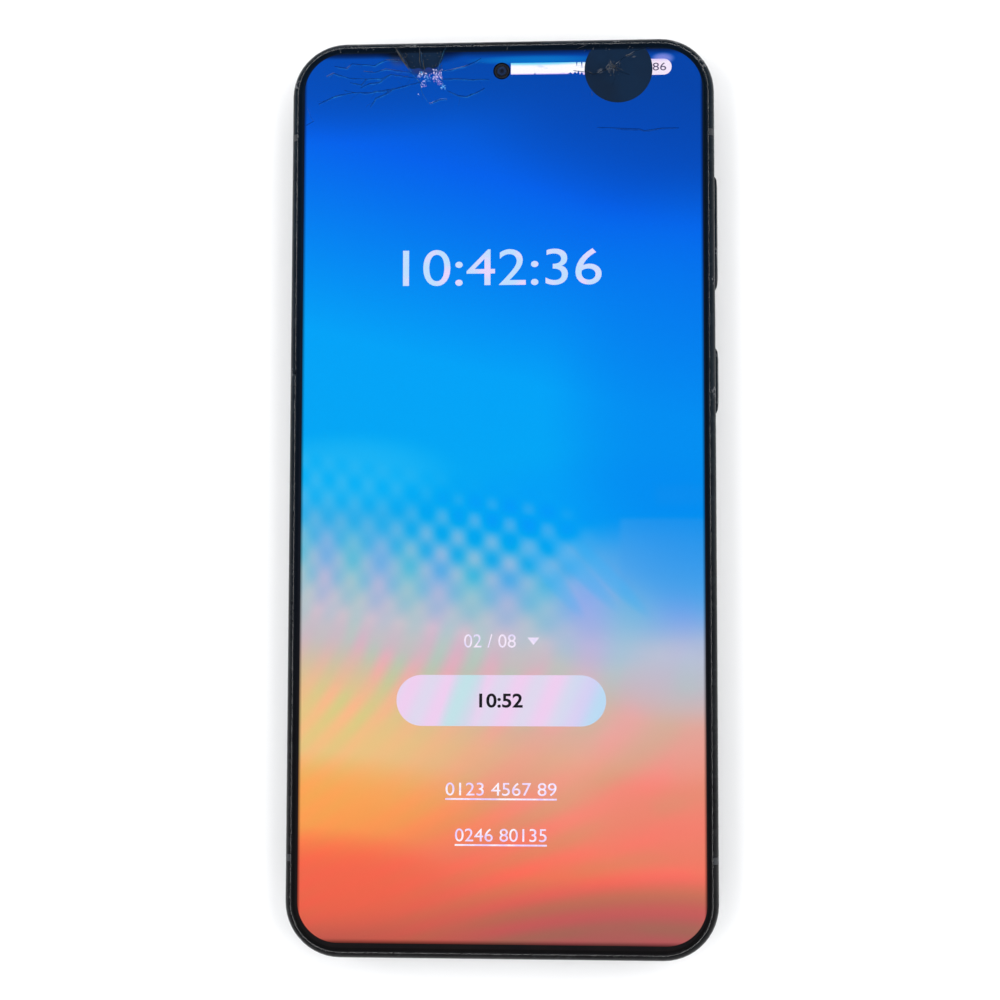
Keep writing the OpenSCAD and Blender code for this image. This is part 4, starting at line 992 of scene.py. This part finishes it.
    # front camera: a small coated lens in the screen's hole
    lens = Mat("selfie_lens", rough=0.04, spec=1.0)
    d = lens.t.nodes.new("ShaderNodeVectorMath")
    d.operation = "DISTANCE"
    lens.t.links.new(lens.p, d.inputs[0])
    d.inputs[1].default_value = (0, 74.4, 7.9)
    lens.set("Base Color", lens.ramp(Val(lens, d.outputs["Value"]), [(0.0, (0.003, 0.003, 0.005)), (0.35, (0.005, 0.008, 0.02)), (0.6, (0.012, 0.028, 0.08)), (0.85, (0.005, 0.006, 0.010)), (1.2, (0.003, 0.003, 0.003))]))
    lens.b.inputs["Coat Weight"].default_value = 1.0
    bm = bmesh.new()
    k, nr = 48, 8
    rows = []
    for i in range(1, nr + 1):
        t = i / nr
        rows.append([bm.verts.new((0.95 * t * math.cos(2 * math.pi * s / k), 74.4 + 0.95 * t * math.sin(2 * math.pi * s / k), 7.905 + 0.075 * (1 - t * t))) for s in range(k)])
    top = bm.verts.new((0, 74.4, 7.98))
    end = bm.verts.new((0, 74.4, 7.88))
    for s in range(k):
        j = (s + 1) % k
        bm.faces.new((top, rows[0][s], rows[0][j]))
        for p, q in zip(rows, rows[1:]):
            bm.faces.new((p[s], p[j], q[j], q[s]))
        bm.faces.new((rows[-1][s], rows[-1][j], end))
    new_object("front_camera_lens", bm, slot="lens_glass", m=lens, smooth=True)


def m_rings(m, x, y):
    u, v = m.x - x, m.y - y
    return m.sin(m.sqrt(u * u + v * v) * 14) * 0.5 + 0.5


def make_port():
    m = Mat("gold_contact", metal=1.0, spec=0.5)
    m.set("Base Color", m.mix(m.noise(4, 3), (0.72, 0.50, 0.20), (0.80, 0.60, 0.28)))
    m.set("Roughness", m.blend(m.noise(9, 2), 0.22, 0.34))
    bm = bmesh.new()
    for s in (-1, 1):
        for i in range(12):
            x = -2.75 + 0.5 * i
            long = 3.9 if i in (0, 3, 8, 11) else 3.3
            z0, z1 = sorted((4.9 + s * 0.34, 4.9 + s * 0.365))
            prism_into(bm, rounded(x - 0.13, x + 0.13, -78.3, -78.3 + long, 0.05, 2), z0, z1)
    new_object("usb_contacts", bm, slot="connector", m=m)


# ---------------------------------------------------------------- inside
def make_inside():
    steel = two_tone("socket_steel", (0.42, 0.42, 0.43), (0.55, 0.55, 0.56), 0.8, 1.0, (0.22, 0.38), 0.004, stretch=(1, 0.2, 1))
    gasket = two_tone("gasket", (0.02, 0.02, 0.022), (0.035, 0.035, 0.038), 1.2, 0.0, (0.65, 0.85), 0.01)
    tape = two_tone("seal_tape", (0.015, 0.015, 0.016), (0.03, 0.03, 0.032), 0.8, 0.0, (0.7, 0.9), 0.02)
    foil = two_tone("foil", (0.06, 0.055, 0.05), (0.12, 0.10, 0.085), 0.15, 0.6, (0.35, 0.55), 0.02)
    black = two_tone("module_black", (0.012, 0.012, 0.014), (0.022, 0.022, 0.025), 1.5, 0.0, (0.45, 0.6), 0.006)
    chip = two_tone("chip", (0.014, 0.014, 0.015), (0.024, 0.024, 0.026), 2.5, 0.0, (0.5, 0.65), 0.006)
    shield = two_tone("shield", (0.55, 0.55, 0.54), (0.66, 0.66, 0.65), 0.5, 1.0, (0.28, 0.42), 0.005, stretch=(1, 0.15, 1))
    bracket = two_tone("bracket", (0.018, 0.018, 0.020), (0.032, 0.032, 0.035), 0.9, 0.0, (0.5, 0.7), 0.012)
    screw = two_tone("screw_steel", (0.40, 0.40, 0.42), (0.56, 0.56, 0.58), 2.0, 1.0, (0.25, 0.4), 0.004)
    mic = two_tone("mic_can", (0.70, 0.62, 0.38), (0.80, 0.72, 0.46), 1.5, 1.0, (0.25, 0.4), 0.004)
    box = two_tone("speaker_box", (0.014, 0.014, 0.016), (0.026, 0.026, 0.029), 0.9, 0.0, (0.5, 0.7), 0.012)
    motor = two_tone("motor_case", (0.50, 0.50, 0.50), (0.62, 0.62, 0.62), 0.6, 1.0, (0.25, 0.4), 0.004, stretch=(0.2, 1, 1))
    jacket = two_tone("cable_jacket", (0.02, 0.02, 0.02), (0.04, 0.04, 0.042), 1.2, 0.0, (0.4, 0.55), 0.006)
    conn = two_tone("connector", (0.30, 0.26, 0.18), (0.42, 0.36, 0.24), 1.8, 0.4, (0.35, 0.5), 0.01)
    led = two_tone("led", (0.80, 0.66, 0.16), (0.92, 0.80, 0.30), 1.8, 0.0, (0.4, 0.6), 0.01)
    # woven steel mesh
    mesh = Mat("mesh", metal=0.7, spec=0.4)
    weave = mesh.sin(mesh.x * 21) * mesh.sin(mesh.z * 21 + mesh.y * 21)
    mesh.set("Base Color", mesh.mix(mesh.step(weave, -0.2, 0.4), (0.010, 0.010, 0.010), (0.085, 0.085, 0.09)))
    mesh.set("Roughness", mesh.blend(mesh.noise(2, 2), 0.45, 0.6))
    mesh.bump(weave, 0.05)
    # solder mask with tracks and pads
    board = Mat("board", rough=0.4)
    tracks = board.step(board.cells(0.9, "DISTANCE_TO_EDGE", 2, (1, 1, 0.001), 0.35), 0.06, 0.03)
    pads = board.step(board.cells(1.4, "F1", 7, (1, 1, 0.001), 0.6), 0.16, 0.12)
    c = board.mix(board.noise(0.2, 2), (0.006, 0.045, 0.030), (0.010, 0.062, 0.040))
    c = board.mix(tracks * 0.6, c, (0.02, 0.11, 0.06))
    board.set("Base Color", board.mix(pads, c, (0.62, 0.52, 0.30)))
    board.set("Metallic", pads * 0.8)
    board.set("Roughness", board.blend(board.noise(1.5, 2), 0.3, 0.45))
    board.bump(tracks, 0.02)
    # amber film with copper tracks
    flex = Mat("flex_film", rough=0.4)
    lines = flex.step(flex.sin(flex.x * 9) * flex.step(flex.noise(0.2, 1), 0.2, 0.4), 0.1, 0.5)
    flex.set("Base Color", flex.mix(lines, (0.42, 0.17, 0.035), (0.55, 0.25, 0.06)))
    flex.set("Roughness", flex.blend(flex.noise(1.5, 2), 0.3, 0.5))
    flex.bump(lines, 0.01)
    # the cell's foil pouch
    cell = Mat("cell", rough=0.4)
    wrinkle = cell.noise(0.16, 5, 0.6, 3, (1, 0.35, 1))
    cell.set("Base Color", cell.mix(cell.step(wrinkle, 0.35, 0.65), (0.020, 0.021, 0.024), (0.036, 0.037, 0.041)))
    cell.set("Roughness", cell.blend(wrinkle, 0.35, 0.6))
    cell.bump(wrinkle, 0.06)
    plan = {
        steel: ["usb_socket", "sim_reader", "key_stiffener"], gasket: ["usb_seal", "sim_seal"], tape: ["back_seal"],
        foil: ["display_backing"], black: ["earpiece", "front_camera", "main_camera", "wide_camera", "tele_camera"],
        chip: ["processor", "storage_chip", "power_chip"], shield: ["front_shield", "rear_shield"], bracket: ["upper_bracket", "lower_bracket"],
        screw: ["upper_screws", "lower_screws"], mic: ["bottom_mic"], box: ["loudspeaker"], motor: ["vibration_motor"],
        jacket: ["antenna_cable"], conn: ["board_connectors"], led: ["flash_led"], mesh: ["earpiece_mesh", "speaker_mesh"],
        board: ["main_board", "sub_board"], flex: ["display_flex", "battery_flex", "main_flex", "key_switches"], cell: ["battery"],
    }
    for m, names in plan.items():
        for n in names:
            dress(NODES[n], m)
    # the black ring seen through the rim of the glass, grey at the bottom and navy towards the top: a painted
    # reflection
    m = Mat("display_ring", spec=0.04)
    c = m.mix(m.step(m.y, -70, 50), (0.0080, 0.0072, 0.0076), (0.0030, 0.0090, 0.0200))
    m.set("Base Color", m.dim(c, m.blend(m.noise(0.8, 2, 0.5, 3), 0.8, 1.15)))
    m.set("Roughness", m.blend(m.noise(2.0, 2, 0.5, 5), 0.6, 0.8))
    m.bump(m.noise(4, 2), 0.008)
    dress(NODES["display_seal"], m)


set_camera()
set_stage()
make_screen()
make_print()
make_border()
make_glass()
make_outside()
make_cameras()
make_port()
make_inside()
